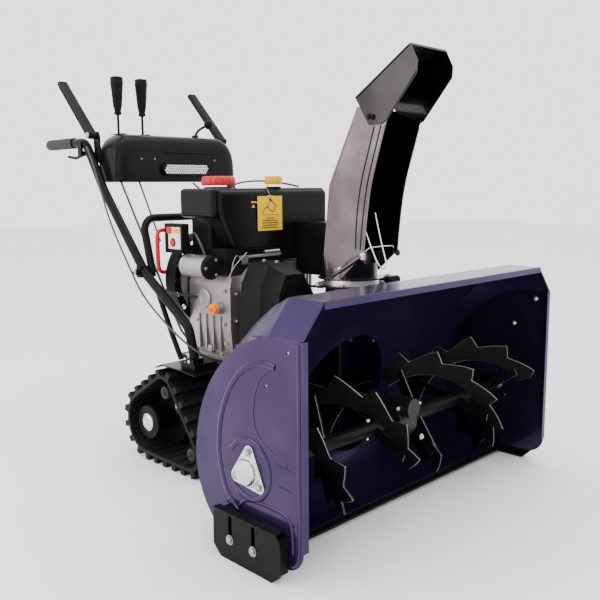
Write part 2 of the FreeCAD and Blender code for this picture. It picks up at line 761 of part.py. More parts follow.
def make_engine_dress():
    """The shroud with its tank, the starter, the switch box, the muffler and the filler caps."""
    tank = slab("YZ", [(-75, 646), (-75, 806), (-58, 828), (80, 828), (98, 806), (98, 640),
                       (-60, 640)], -190, 280)
    skirt = block(-150, 276, -70, 96, 602, 640)
    room = block(-184, 274, -69, 92, 596, 800)
    sump = block(-144, 270, -64, 90, 596, 660)
    red_neck = rod("z", 30, -95, 25, 828, 836)
    yellow_neck = rod("z", 22, 75, -36, 828, 838)
    red_hole = rod("z", 24, -95, 25, 790, 850)
    yellow_hole = rod("z", 17, 75, -36, 790, 850)
    keep("engine_shroud", cut(fuse(tank, skirt, red_neck, yellow_neck), room, sump, red_hole,
                              yellow_hole))
    gap = s.joint_gap
    red = fuse(turned("z", -95, 25, 836 + 0.4, [(0, 0), (50, 0), (52, 4), (52, 22), (46, 28),
                                               (0, 28)]),
               rod("z", 24 - gap, -95, 25, 812, 838))
    keep("fuel_cap", red)
    yellow = fuse(turned("z", 75, -36, 838 + 0.4, [(0, 0), (26, 0), (28, 4), (28, 20), (22, 26),
                                                  (0, 26)]),
                  rod("z", 17 - gap, 75, -36, 812, 840))
    keep("oil_cap", yellow)
    stick = fuse(rod("x", 4, -52, 478, -172, -128), rod("x", 16, -52, 478, -192, -176 - gap),
                 rod("x", 11 - gap, -52, 478, -177, -152), block(-206, -192, -60, -44, 475, 481))
    keep("dipstick", stick)
    motor = fuse(rod("y", 35, -190, 600, -48, 62), block(-158, -150.2, -30, 40, 570, 596))
    end_cap = fuse(rod("y", 36, -190, 600, -58, -48), rod("y", 16, -190, 600, -64, -58))
    keep("starter_motor", fuse(motor, end_cap))
    box = block(-216, -190, 51, 139, 636, 724)
    well = rod("x", 11, 95, 668, -220, -196)
    keep("switch_box", cut(box, well))
    button = fuse(rod("x", 10.5, 95, 668, -210, -202), rod("x", 10.5, 95, 668, -222, -209))
    keep("starter_button", button)
    body = block(136, 296, -204, -86, 566, 716)
    pipe = rod("x", 14, -150, 600, 296, 318)
    keep("muffler", fuse(body, pipe))
    guard = block(130, 302, -210, -80, 560, 722)
    guard_room = block(134, 310, -206, -70, 564, 718)
    slots = [block(150 + 30 * i, 166 + 30 * i, -215, -190, 590, 690) for i in range(5)]
    keep("muffler_guard", cut(guard, guard_room, *slots))
    loop = closed_loop([(-168, 157, 694), (-228, 157, 706), (-232, 157, 590), (-196, 157, 568),
                        (-168, 157, 610)], 6, 18)
    cord = rod("x", 2.5, 160, 614, -170, -90)
    keep("recoil_handle", fuse(loop, cord))


def closed_loop(points, radius, bend):
    """A round bar bent into a closed ring with tangent corners."""
    spots = [Vector(*p) for p in points]
    count = len(spots)
    edges = []
    ends = []
    for index in range(count):
        corner = spots[index]
        back = (spots[index - 1] - corner).normalize()
        ahead = (spots[(index + 1) % count] - corner).normalize()
        half = back.getAngle(ahead) / 2
        reach = bend / math.tan(half)
        heart = corner + (back + ahead).normalize() * (bend / math.sin(half))
        middle = heart + (corner - heart).normalize() * bend
        ends.append((corner + back * reach, middle, corner + ahead * reach))
    for index in range(count):
        begin, middle, finish = ends[index]
        edges.append(Part.Arc(begin, middle, finish).toShape())
        edges.append(Part.LineSegment(finish, ends[(index + 1) % count][0]).toShape())
    wire = Part.Wire(edges)
    first = wire.Edges[0]
    start = first.valueAt(first.FirstParameter)
    ring = Part.Wire([Part.makeCircle(radius, start, first.tangentAt(first.FirstParameter))])
    piece = doc.addObject("Part::Feature", "Loop")
    piece.Shape = wire.makePipeShell([ring], True, True)
    piece.Placement = FreeCAD.Placement()
    return piece


# ---- tracks --------------------------------------------------------------------------------

def track_circles(inset):
    """The three wheels of a track in the side view, counter-clockwise, shrunk by an inset."""
    return [(SIZES[n + "_y"], SIZES[n + "_z"], SIZES[n + "_track"] - inset)
            for n in ("idler", "rear_wheel", "sprocket")]


def make_track():
    """A rubber belt with lugs round three wheels, with its axle plate and tension rod."""
    outer, inner = -s.track_outer_x, -s.track_inner_x
    lug = SIZES["lug_height"]
    depth = lug + SIZES["belt_thickness"]
    band = cut(slab("YZ", wrap_points(track_circles(lug), 12), outer, inner),
               slab("YZ", wrap_points(track_circles(depth), 12), outer - 1, inner + 1))
    lugs = []
    path = wrap_points(track_circles(lug), 24)
    total = sum(math.dist(a, b) for a, b in zip(path, path[1:] + path[:1]))
    count = round(total / 46)
    for index in range(count):
        (y, z), (ay, az) = walk(path, total * index / count)
        angle = math.degrees(math.atan2(az, ay))
        bar = doc.addObject("Part::Feature", "Lug")
        width = SIZES["track_outer_x"] - SIZES["track_inner_x"]
        bar.Shape = Part.makeBox(width, 18, lug + 4, Vector(-SIZES["track_outer_x"], -9, -lug))
        bar.Placement = FreeCAD.Placement(Vector(0, y, z),
                                          FreeCAD.Rotation(Vector(1, 0, 0), angle))
        lugs.append(bar)
    ground = block(outer - 2, inner + 2, -300, 400, -40, 0)
    keep_both("track_belts", cut(fuse(band, *lugs), ground))
    axles = []
    for name in ("rear_wheel", "sprocket", "idler"):
        radius = s.__getattr__(name + "_track") - depth - 1.2
        y, z = s.__getattr__(name + "_y"), s.__getattr__(name + "_z")
        large = name == "rear_wheel"
        roller = rod("x", radius, y, z, outer + 96, outer + 160)
        hollow = rod("x", radius - 12, y, z, outer + 104, outer + 161)
        dish = rod("x", 52 if large else 20, y, z, outer + 14, outer + 26)
        hub = rod("x", 30 if large else 18, y, z, outer + 24, outer + 158)
        cap = rod("x", 22 if large else 14, y, z, outer + 8, outer + 14)
        bore = rod("x", s.axle_radius + s.running_gap, y, z, outer + 18, outer + 200)
        wheel = cut(fuse(cut(roller, hollow), dish, hub, cap), bore)
        keep_pair({"rear_wheel": "rear_wheel", "sprocket": "track_sprocket",
                   "idler": "front_idler"}[name], wheel)
        axles.append(rod("x", s.axle_radius, y, z, outer + 20, -121))
    plate = slab("YZ", [(-98, 46), (150, 90), (165, 120), (60, 250), (30, 250), (-100, 80)],
                 -128, -122)
    spacer = block(-122, -115, -60, 90, 80, 150)
    arm = block(-203, -128, -12, 12, 84, 106)
    keep_both("track_frames", fuse(plate, spacer, arm, *axles))
    keep_both("tension_rods", fuse(rod("y", 12, -215, 95, -34, 22), rod("y", 7, -215, 95, 22, 46)))


def walk(path, distance):
    """The point and the direction at a distance along a closed path."""
    for here, there in zip(path, path[1:] + path[:1]):
        step = math.dist(here, there)
        if distance <= step and step > 1e-6:
            part = distance / step
            way = ((there[0] - here[0]) / step, (there[1] - here[1]) / step)
            return (here[0] + (there[0] - here[0]) * part,
                    here[1] + (there[1] - here[1]) * part), way
        distance -= step
    return path[0], (1, 0)


# ---- handles and controls ------------------------------------------------------------------

HANDLE_SIDE = [(-s.handle_x, -62, 345), (-s.handle_x, -38, 432), (-s.handle_x, 176, 572),
               (-s.handle_x, 398, 825), (-s.handle_x, 500, s.grip_z),
               (-s.handle_x, s.handle_end, s.grip_z)]


def make_handles():
    """Two long bent tubes, the cross hoop between them, their braces and clamps."""
    x = -s.handle_x
    main = tube(HANDLE_SIDE, s.tube_radius, 50)
    hoop_x = -240
    hoop = [(hoop_x, 176, 572), (hoop_x, 222, 738), (-hoop_x, 222, 738), (-hoop_x, 176, 572)]
    keep("handle_hoop", tube(hoop, 12, 45))
    strut = tube([(x, 2, 330), (x, 40, 392), (x, 122, 538)], 8, 60)
    strut = cut(strut, main, block(-290, -240, -90, 20, 300, 331))
    clamp = fuse(block(x - 18, -228, 176, 198, 560, 594), rod("x", 9, 188, 577, x - 30, x - 18))
    clamp = cut(cut(clamp, main), tube(hoop, 12, 45))
    keep("handle_braces", group([strut, mirrored(strut), clamp, mirrored(clamp)]))
    grip = cut(rod("y", s.grip_radius, x, s.grip_z, 575, s.handle_end + 2),
               rod("y", s.tube_radius, x, s.grip_z, 500, s.handle_end))
    keep_both("grips", grip)
    return main


def make_clutch_levers(main):
    """The two squeeze levers above the grips, on pins beside the handle tubes."""
    y, z = s.lever_pivot_y, s.lever_pivot_z
    plate = slab("YZ", [(432, 905), (468, 925), (472, 1000), (464, 1012), (446, 1012),
                        (438, 1000)], -254, -248)
    pin = rod("x", 5, y, z, -284, -250)
    hub = rod("x", 12, y, z, -281, -255)
    arm = slab("YZ", [(452, 1011), (464, 992), (643, 1175), (640, 1184), (628, 1186)],
               -281, -255)
    room = slab("YZ", [(475, 1003), (470, 980), (660, 1170), (634, 1168)], -278, -258)
    bore = rod("x", 5 + s.running_gap, y, z, -290, -240)
    keep_pair("clutch_lever", cut(fuse(hub, arm), cut(room, rod("x", 14, y, z, -290, -240)), bore))
    mount = fuse(block(-286, -278, 498, 520, 950, 980), block(-286, -282, 498, 520, 934, 955),
                 rod("x", 4, 510, 944, -286, -256))
    keep_both("handle_tubes", fuse(main, plate, pin, mount))
    trigger = fuse(rod("x", 8, 510, 944, -277, -259),
                   tube([(-270, 512, 940), (-270, 560, 930), (-270, 610, 936)], 5, 60))
    keep_pair("steering_trigger", cut(trigger, rod("x", 4 + s.running_gap, 510, 944, -290, -250)))


def make_console():
    """The control box between the handles, its lamp, and its two shift levers."""
    half = s.console_half_width
    outline = [(s.console_front, s.console_bottom), (s.console_front + 4, s.console_top - 20),
               (s.console_front + 22, s.console_top), (s.console_rear - 14, s.console_top),
               (s.console_rear, s.console_top - 16), (430, s.console_bottom)]
    box = slab("YZ", outline, -half, half)
    room = slab("YZ", [(355, 845), (359, 985), (375, 1002), (455, 1002), (466, 988), (427, 845)],
                -half + 4, half - 4)
    slots = [block(x - 8, x + 8, 394, 456, 990, 1010) for x in LEVER_PLACES]
    lamp_hole = block(-50, 95, 350, 362, 877, 909)
    keep("console", fuse(cut(box, room, *slots, lamp_hole), *console_ribs()))
    lamp = fuse(block(-55, 99, 340, 352, 871, 915), rod("y", 22, -54, 893, 340, 352),
                rod("y", 22, 99, 893, 340, 352), block(-49, 94, 352, 362, 878, 908))
    lens_room = fuse(block(-55, 99, 338, 346, 875, 911), rod("y", 18, -54, 893, 338, 346),
                     rod("y", 18, 99, 893, 338, 346))
    keep("headlight_housing", cut(lamp, lens_room))
    lens = fuse(block(-55, 99, 341, 346, 875.2, 910.8), rod("y", 17.8, -54, 893, 341, 346),
                rod("y", 17.8, 99, 893, 341, 346))
    keep("headlight_lens", lens)
    for name, x in zip(("speed_lever", "chute_lever"), LEVER_PLACES):
        hub = rod("x", 11, 425, 890, x - 9, x + 9)
        stem = rod("z", 4, x, 425, 890, 1070)
        bore = rod("x", 5 + s.running_gap, 425, 890, x - 20, x + 20)
        knob = [cone("z", 12, 22, x, 425, 1062, 1172), cone("z", 22, 16, x, 425, 1172, 1188)]
        keep(name, cut(fuse(hub, stem, *knob), bore))


LEVER_PLACES = (-187, -95)


def console_ribs():
    """The pivot pin inside the console and the two ribs that hold it."""
    pin = rod("x", 5, 425, 890, -218, -62)
    ribs = [block(x, x + 6, 400, 458, 845, 900) for x in (-222, -66)]
    crown = [cut(rib, block(-300, 300, 427, 520, 800, 850)) for rib in ribs]
    wall = [block(x, x + 6, 358, 402, 880, 900) for x in (-222, -66)]
    return [pin, *crown, *wall]


def make_cables():
    """Held cables and rods, each one whole along its route."""
    clutch = tube([(-284, 462, 962), (-306, 380, 900), (-306, 300, 720), (-304, 150, 520),
                   (-296, -60, 390), (-250, -106, 345), (-190, -106, 328)], 3, 30)
    speed = tube([(-222, 366, 852), (-222, 62, 400), (-192, 0, 330)], 4, 30)
    engine = tube([(-240, 166, 548), (-236, 120, 520), (-200, 80, 508), (-160, 60, 500)], 5, 25)
    starter = tube([(-190, 20, 690), (-212, 20, 690), (-216, 10, 660), (-206, 0, 634)], 3, 8)
    lamp = tube([(60, 360, 846), (50, 240, 790), (30, 120, 852), (120, 0, 850),
                 (200, -20, 832)], 3, 40)
    keep("control_cables", group([clutch, speed, engine, starter, lamp]))


def make_tag():
    """The plastic tag that hangs in front of the tank, on a short wire."""
    card = block(-30, 70, -79.5, -78.3, 700, 804)
    eye = rod("x", 1.5, -78.9, 804, 10, 30)
    keep("hang_tag", fuse(cut(card, rod("y", 4, 20, 794, -90, -70)), eye))


make_housing()
make_side_plates()
make_bearings()
make_scraper()
make_skid_shoes()
make_flights("right", -1)
make_flights("left", 1)
make_auger_drive()
make_impeller()
make_impeller_housing()
make_chute_base()
make_chute()
make_deflector()
make_chute_guards()
make_frame()
make_engine()
make_belt_cover()
make_engine_dress()
make_track()
make_clutch_levers(make_handles())
make_console()
make_cables()
make_tag()
keep("hex_bolts", group(HEX_BOLTS))

doc.recompute()
problems = [o.Label for o in doc.Objects if "Invalid" in o.State or "Error" in o.State]
os.makedirs("parts", exist_ok=True)
for name, piece in made.items():
    shape = piece.Shape
    if shape.isNull() or not shape.isValid() or not shape.Solids:
        problems.append(name)
        continue
    shape.exportStep("parts/%s.step" % name)
print("pieces:", len(made), "problems:", problems)
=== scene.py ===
# %% [markdown]
# # A tracked two-stage snowblower
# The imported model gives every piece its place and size. This script gives each piece its finish, and
# builds again in finer form the pieces whose plain CAD shape lacks what the real thing shows.
# The first cell loads the model and keeps its box, because the finished pieces must stay inside it.
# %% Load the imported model
import math

import bmesh
import bpy
from mathutils import Matrix, Vector


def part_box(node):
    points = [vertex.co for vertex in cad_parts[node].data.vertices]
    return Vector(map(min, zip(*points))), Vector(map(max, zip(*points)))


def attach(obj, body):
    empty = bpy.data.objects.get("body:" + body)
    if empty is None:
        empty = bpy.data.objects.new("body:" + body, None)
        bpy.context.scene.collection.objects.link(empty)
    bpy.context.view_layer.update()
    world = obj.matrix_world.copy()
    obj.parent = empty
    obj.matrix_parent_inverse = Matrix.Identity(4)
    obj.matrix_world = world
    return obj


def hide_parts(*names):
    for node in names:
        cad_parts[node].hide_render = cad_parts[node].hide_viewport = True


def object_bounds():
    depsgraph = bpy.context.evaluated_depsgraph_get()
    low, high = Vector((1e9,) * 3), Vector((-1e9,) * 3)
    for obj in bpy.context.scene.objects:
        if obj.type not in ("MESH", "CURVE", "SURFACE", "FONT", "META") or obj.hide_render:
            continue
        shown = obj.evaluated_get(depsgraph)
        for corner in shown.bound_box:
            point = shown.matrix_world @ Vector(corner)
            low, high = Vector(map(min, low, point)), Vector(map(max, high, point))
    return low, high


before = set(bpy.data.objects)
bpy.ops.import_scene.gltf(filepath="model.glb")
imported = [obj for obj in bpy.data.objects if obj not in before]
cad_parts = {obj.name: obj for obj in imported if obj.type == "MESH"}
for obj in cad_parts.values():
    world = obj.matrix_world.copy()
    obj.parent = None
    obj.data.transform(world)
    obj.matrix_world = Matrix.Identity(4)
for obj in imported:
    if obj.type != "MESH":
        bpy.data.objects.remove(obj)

cad_low, cad_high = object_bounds()
print("CAD box:", [round(v, 3) for v in (*cad_low, *cad_high)])

# %% [markdown]
# ## Camera
# The machine is seen from its front right corner, from about waist height and a little over two metres
# away, through a slightly long lens. The camera's three axes are worked out from its turn, its downward
# tilt and its slight roll. A tracking constraint would be simpler, but it would hold the camera level.
# %% Camera
def camera_axes(turn, tilt, roll):
    """Right, up and forward directions for a camera turned from +Y towards +X and tilted down."""
    forward = Vector((math.sin(turn) * math.cos(tilt), math.cos(turn) * math.cos(tilt), -math.sin(tilt)))
    level = Vector((math.cos(turn), -math.sin(turn), 0))
    upright = level.cross(forward)
    right = level * math.cos(roll) + upright * math.sin(roll)
    up = upright * math.cos(roll) - level * math.sin(roll)
    return right, up, forward


CAMERA_TURN, CAMERA_TILT, CAMERA_ROLL = (math.radians(angle) for angle in (44.6, 8.6, -0.4))
CAMERA_PLACE = (-1.5276, -1.7755, 0.8307)
LENS = 44.9
right, up, forward = camera_axes(CAMERA_TURN, CAMERA_TILT, CAMERA_ROLL)
camera_data = bpy.data.cameras.new("camera")
camera_data.sensor_width = 36
camera_data.lens = LENS
camera = bpy.data.objects.new("camera", camera_data)
bpy.context.scene.collection.objects.link(camera)
camera.matrix_world = Matrix.Translation(CAMERA_PLACE) @ Matrix(
    (right, up, -forward)).transposed().to_4x4()
bpy.context.scene.camera = camera
print("camera at", [round(v, 2) for v in camera.location], "lens", camera_data.lens)

# %% [markdown]
# ## Lights and world
# A big soft light stands on the machine's right, a little behind, so faces towards -X are bright and
# the front stays dark. A weaker one fills from above, and a faint one in front keeps the dark panels
# from going flat. A plain white world does the rest, as a tent of white cloth would in a studio.
# %% Lights and world
def area_light(name, place, target, size, watts):
    """A soft square light aimed at a point."""
    data = bpy.data.lights.new(name, "AREA")
    data.size = size
    data.energy = watts
    light = bpy.data.objects.new(name, data)
    light.location = place
    light.rotation_euler = (Vector(target) - Vector(place)).to_track_quat("-Z", "Y").to_euler()
    bpy.context.scene.collection.objects.link(light)
    return light


area_light("key_light", (-3.4, 1.0, 2.0), (0, 0, 0.5), 2.4, 70)
area_light("top_light", (0.3, -0.6, 3.8), (0, 0, 0.4), 2.6, 60)
area_light("front_strip", (-0.6, -3.6, 2.2), (0, -0.4, 0.4), 1.4, 8)

WORLD_STRENGTH = 2.2
world = bpy.data.worlds.new("studio")
world.use_nodes = True
world.node_tree.nodes["Background"].inputs["Color"].default_value = (1, 1, 1, 1)
world.node_tree.nodes["Background"].inputs["Strength"].default_value = WORLD_STRENGTH
bpy.context.scene.world = world
print("lights:", len(bpy.data.lights), "world strength", WORLD_STRENGTH)

# %% [markdown]
# ## Finishes
# Each finish is a node tree around one principled shader. Two scales of noise do most of the work:
# a fine one for the grain of the surface, and a broad one for dust and uneven gloss. All of them use
# object coordinates in metres, so the grain has the same real size on every piece.
# %% The finish maker
def finish(name, colour, rough, metal=0.0, grain=0.0, grain_size=0.002, uneven=0.12, dust=0.0,
           coat=0.0, streak=(1, 1, 1), tint=None, depth=0.0004, shine=0.5):
    """A procedural surface: colour drifts towards tint, roughness wanders, and grain lifts the bump."""
    material = bpy.data.materials.new(name)
    material.use_nodes = True
    nodes = material.node_tree.nodes
    links = material.node_tree.links
    shader = nodes["Principled BSDF"]
    shader.inputs["Metallic"].default_value = metal
    shader.inputs["Specular IOR Level"].default_value = shine
    shader.inputs["Coat Weight"].default_value = coat
    shader.inputs["Coat Roughness"].default_value = 0.06
    place = nodes.new("ShaderNodeTexCoord")
    stretch = nodes.new("ShaderNodeMapping")
    stretch.inputs["Scale"].default_value = streak
    links.new(place.outputs["Object"], stretch.inputs["Vector"])
    broad = nodes.new("ShaderNodeTexNoise")
    broad.inputs["Scale"].default_value = 9
    broad.inputs["Detail"].default_value = 6
    fine = nodes.new("ShaderNodeTexNoise")
    fine.inputs["Scale"].default_value = 1 / grain_size
    fine.inputs["Detail"].default_value = 3
    links.new(stretch.outputs["Vector"], broad.inputs["Vector"])
    links.new(stretch.outputs["Vector"], fine.inputs["Vector"])
    mix = nodes.new("ShaderNodeMix")
    mix.data_type = "RGBA"
    mix.inputs["A"].default_value = (*colour, 1)
    mix.inputs["B"].default_value = (*(tint or [min(1, c * 1.5 + 0.01) for c in colour]), 1)
    patch = nodes.new("ShaderNodeMapRange")
    patch.inputs["From Min"].default_value = 0.42
    patch.inputs["From Max"].default_value = 0.75
    patch.inputs["To Max"].default_value = 0.45 + dust
    links.new(broad.outputs["Fac"], patch.inputs["Value"])
    links.new(patch.outputs["Result"], mix.inputs["Factor"])
    links.new(mix.outputs["Result"], shader.inputs["Base Color"])
    wander = nodes.new("ShaderNodeMapRange")
    wander.inputs["To Min"].default_value = max(0.02, rough - uneven)
    wander.inputs["To Max"].default_value = min(1.0, rough + uneven)
    links.new(broad.outputs["Fac"], wander.inputs["Value"])
    links.new(wander.outputs["Result"], shader.inputs["Roughness"])
    if grain:
        bump = nodes.new("ShaderNodeBump")
        bump.inputs["Strength"].default_value = grain
        bump.inputs["Distance"].default_value = depth
        links.new(fine.outputs["Fac"], bump.inputs["Height"])
        links.new(bump.outputs["Normal"], shader.inputs["Normal"])
    return material


print("finish maker ready")

# %% [markdown]
# Sheet metal here is powder coated, and the covers are moulded. A painted panel mirrors its surroundings
# with the colour of its flakes, so the violet and the chute's black are mostly metal with a thin coat.
# The moulded blacks reflect very little, or they would look grey under so much white light.
# %% Paints and moulded blacks
violet = finish("violet_paint", (0.031, 0.017, 0.060), 0.17, metal=0.80, grain=0.10,
                grain_size=0.004, uneven=0.06, coat=0.12, tint=(0.062, 0.038, 0.104), shine=0.25)
deep_violet = finish("deep_violet_paint", (0.024, 0.015, 0.060), 0.24, metal=0.70, grain=0.10,
                     grain_size=0.004, uneven=0.06, coat=0.10, tint=(0.045, 0.028, 0.100), shine=0.25)
gloss_black = finish("gloss_black_paint", (0.110, 0.082, 0.095), 0.20, metal=0.75, grain=0.14,
                     grain_size=0.008, uneven=0.08, coat=0.25, tint=(0.300, 0.230, 0.260), shine=0.3)
cap_black = finish("cap_black_paint", (0.018, 0.014, 0.015), 0.24, metal=0.70, grain=0.14,
                   grain_size=0.008, uneven=0.08, coat=0.20, tint=(0.050, 0.038, 0.042), shine=0.3)
satin_black = finish("satin_black_paint", (0.0045, 0.0042, 0.0045), 0.34, grain=0.25,
                     grain_size=0.0012, uneven=0.08, tint=(0.010, 0.009, 0.010), shine=0.08)
black_plastic = finish("moulded_black_plastic", (0.0045, 0.0044, 0.0048), 0.42, grain=0.5,
                       grain_size=0.0009, uneven=0.07, tint=(0.010, 0.0095, 0.010), shine=0.07)
shroud_black = finish("shroud_black", (0.0035, 0.0033, 0.0036), 0.26, grain=0.15,
                      grain_size=0.002, uneven=0.06, tint=(0.008, 0.0075, 0.008), shine=0.10)
print("paints:", len(bpy.data.materials))

# %% [markdown]
# Plated fixings, bare bars and castings are real metals, so they are fully or almost fully metallic.
# The steel and the chute's ring have a stretched grain, like the marks that a lathe or a roller leaves.
# The gearbox is painted over its rough casting, so its black isn't metallic.
# %% Metals
zinc = finish("zinc_plate", (0.60, 0.61, 0.62), 0.25, metal=1.0, grain=0.15, grain_size=0.001,
              uneven=0.12, tint=(0.80, 0.78, 0.70))
bolt_zinc = finish("bolt_zinc", (0.36, 0.35, 0.33), 0.30, metal=1.0, grain=0.2, grain_size=0.001,
                   uneven=0.12, tint=(0.50, 0.46, 0.36))
steel = finish("bare_steel", (0.30, 0.29, 0.28), 0.40, metal=1.0, grain=0.3, grain_size=0.001,
               uneven=0.12, streak=(1, 1, 6), tint=(0.16, 0.14, 0.12))
cast_alloy = finish("cast_alloy", (0.36, 0.33, 0.33), 0.42, metal=0.9, grain=0.9,
                    grain_size=0.0014, uneven=0.1, tint=(0.20, 0.18, 0.18))
ring_alloy = finish("turned_alloy", (0.78, 0.76, 0.70), 0.30, metal=0.9, grain=0.3,
                    grain_size=0.0012, uneven=0.08, streak=(1, 1, 30), tint=(0.66, 0.64, 0.58))
cast_black = finish("cast_black", (0.006, 0.006, 0.0065), 0.5, grain=0.9, grain_size=0.0018,
                    uneven=0.1, tint=(0.014, 0.014, 0.014), shine=0.3)
print("paints and metals:", len(bpy.data.materials))

# %% [markdown]
# Rubber is rough and dusty. The caps, the button and the pull are coloured right through, so a plain
# plastic with a little uneven gloss is enough for them.
# %% Rubber, plastic and card
rubber = finish("track_rubber", (0.007, 0.0065, 0.007), 0.66, grain=0.8, grain_size=0.0015,
                uneven=0.1, dust=0.1, tint=(0.022, 0.020, 0.019), shine=0.15)
grip_rubber = finish("grip_rubber", (0.010, 0.010, 0.010), 0.65, grain=0.6, grain_size=0.0008,
                     uneven=0.08, tint=(0.022, 0.022, 0.022))
red = finish("red_plastic", (0.42, 0.003, 0.008), 0.30, grain=0.12, grain_size=0.0012,
             uneven=0.06, tint=(0.50, 0.008, 0.012), shine=0.3)
yellow = finish("yellow_plastic", (0.66, 0.34, 0.003), 0.34, grain=0.12, grain_size=0.0012,
                uneven=0.06, tint=(0.75, 0.42, 0.01), shine=0.3)
orange = finish("orange_plastic", (0.80, 0.17, 0.002), 0.34, grain=0.12, grain_size=0.0012,
                uneven=0.06, tint=(0.92, 0.28, 0.03))
cream = finish("cream_plastic", (0.72, 0.66, 0.50), 0.42, grain=0.2, grain_size=0.0010,
               uneven=0.06, tint=(0.80, 0.75, 0.60))
card = finish("yellow_card", (0.74, 0.44, 0.003), 0.5, grain=0.1, grain_size=0.0012,
              uneven=0.05, tint=(0.80, 0.50, 0.01), shine=0.2)
sheath = finish("cable_sheath", (0.012, 0.012, 0.012), 0.4, grain=0.2, grain_size=0.001,
                uneven=0.05, tint=(0.03, 0.03, 0.03))
lens = finish("lamp_lens", (0.80, 0.82, 0.85), 0.1, grain=0.3, grain_size=0.006, uneven=0.04,
              coat=1.0, tint=(0.92, 0.93, 0.95))
print("finishes:", len(bpy.data.materials))

# %% [markdown]
# The chute and its cap are bright outside, and their inside gets painted shade. One sheet has both
# faces, so the material itself picks a dark colour, painted shade, for what lies between the two walls.
# A second mesh for the lining would do it too, but it would have to stay a hair inside the first one at
# every place.
# %% Painted shade inside the chute
def paint_shade_between(material, low_x, high_x, colour):
    """Paint shade on the faces that look into a channel, between two X values, as a darker colour."""
    nodes = material.node_tree.nodes
    links = material.node_tree.links
    shader = nodes["Principled BSDF"]
    outside = shader.inputs["Base Color"].links[0].from_socket
    place = nodes.new("ShaderNodeTexCoord")
    parts = nodes.new("ShaderNodeSeparateXYZ")
    links.new(place.outputs["Object"], parts.inputs["Vector"])
    above = nodes.new("ShaderNodeMath")
    above.operation = "GREATER_THAN"
    above.inputs[1].default_value = low_x
    below = nodes.new("ShaderNodeMath")
    below.operation = "LESS_THAN"
    below.inputs[1].default_value = high_x
    both = nodes.new("ShaderNodeMath")
    both.operation = "MULTIPLY"
    links.new(parts.outputs["X"], above.inputs[0])
    links.new(parts.outputs["X"], below.inputs[0])
    links.new(above.outputs[0], both.inputs[0])
    links.new(below.outputs[0], both.inputs[1])
    choose = nodes.new("ShaderNodeMix")
    choose.data_type = "RGBA"
    links.new(both.outputs[0], choose.inputs["Factor"])
    links.new(outside, choose.inputs["A"])
    choose.inputs["B"].default_value = (*colour, 1)
    links.new(choose.outputs["Result"], shader.inputs["Base Color"])


CHUTE_X = (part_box("chute_ring")[0].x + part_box("chute_ring")[1].x) / 2
WALL = 0.072
# The dark colour below is painted shade for the inside of the chute and its cap.
PAINTED_INSIDE_SHADE = (0.006, 0.005, 0.006)
for material, half_width in ((gloss_black, WALL - 0.0015), (cap_black, WALL + 0.0025)):
    paint_shade_between(material, CHUTE_X - half_width, CHUTE_X + half_width, PAINTED_INSIDE_SHADE)
print("dark between the chute walls, round X =", round(CHUTE_X, 3))

# %% [markdown]
# ## A finish for every CAD piece
# Every CAD piece that stays in view takes one of these finishes. A dictionary from finish to names reads
# like a paint shop's list, and makes it easy to see a piece that was forgotten.
# %% Which finish goes where
NODE_FINISH = {
    deep_violet: ["auger_housing", "impeller_housing"],
    gloss_black: ["chute_body"],
    cap_black: ["deflector"],
    satin_black: ["scraper_bar", "skid_shoe_right", "skid_shoe_left", "auger_flight_right",
                  "auger_flight_left", "impeller", "frame_box", "track_frames", "handle_tubes", "handle_hoop",
                  "handle_braces", "steering_trigger_right", "steering_trigger_left",
                  "muffler_guard"],
    black_plastic: ["chute_base", "blower_housing", "belt_cover", "rear_wheel_right",
                    "rear_wheel_left", "track_sprocket_right", "track_sprocket_left",
                    "front_idler_right", "front_idler_left", "clutch_lever_right",
                    "clutch_lever_left", "console", "headlight_housing", "speed_lever",
                    "chute_lever", "switch_box"],
    shroud_black: ["engine_shroud"],
    zinc: ["auger_bearings", "hex_bolts", "shear_bolts", "chute_guard", "tension_rods"],
    steel: ["auger_shaft", "impeller_shaft", "crankshaft", "muffler"],
    cast_black: ["gearbox_case"],
    cast_alloy: ["engine_crankcase", "starter_motor"],
    ring_alloy: ["chute_ring"],
    rubber: ["drive_belt", "track_belts"],
    grip_rubber: ["grips"],
    red: ["fuel_cap", "starter_button", "recoil_handle"],
    yellow: ["oil_cap"],
    orange: ["dipstick"],
    card: ["hang_tag"],
    lens: ["headlight_lens"],
    sheath: ["control_cables"],
    violet: ["side_plates"],
}


def paint(node_name, material):
    """Put one finish on a whole CAD node."""
    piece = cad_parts[node_name]
    piece.data.materials.clear()
    piece.data.materials.append(material)


for material, node_names in NODE_FINISH.items():
    for node_name in node_names:
        paint(node_name, material)
unpainted = set(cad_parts) - {n for names in NODE_FINISH.values() for n in names}
print("unpainted nodes:", unpainted)

# %% [markdown]
# ## Ways of making a piece
# Pressed and cast edges are never knife sharp, so a small bevel modifier rounds them, and its hardened
# normals catch a thin highlight. Every new mesh passes through one function, which merges doubled
# points, gives the piece its finish and names the CAD body that it rides on.
# %% Softened edges and own pieces
SIDES = (("right", -1), ("left", 1))
OUTWARD = {-1: "-x", 1: "x"}


def soften(piece, width=0.0012, segments=2):
    """Round the sharp edges a little."""
    bevel = piece.modifiers.new("soft_edges", "BEVEL")
    bevel.width = width
    bevel.segments = segments
    bevel.limit_method = "ANGLE"
    bevel.angle_limit = math.radians(35)
    bevel.harden_normals = True
    return bevel


def own(name, mesh, material, body="machine", width=0.0):
    """Turn a bmesh into a piece with one finish, riding on a body, with softened edges."""
    bmesh.ops.remove_doubles(mesh, verts=mesh.verts, dist=1e-6)
    bmesh.ops.recalc_face_normals(mesh, faces=mesh.faces)
    data = bpy.data.meshes.new(name)
    mesh.to_mesh(data)
    mesh.free()
    data.materials.append(material)
    piece = bpy.data.objects.new(name, data)
    bpy.context.scene.collection.objects.link(piece)
    data.shade_smooth()
    data.set_sharp_from_angle(angle=math.radians(32))
    if width:
        soften(piece, width)
    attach(piece, body)
    return piece


print("sides:", SIDES)

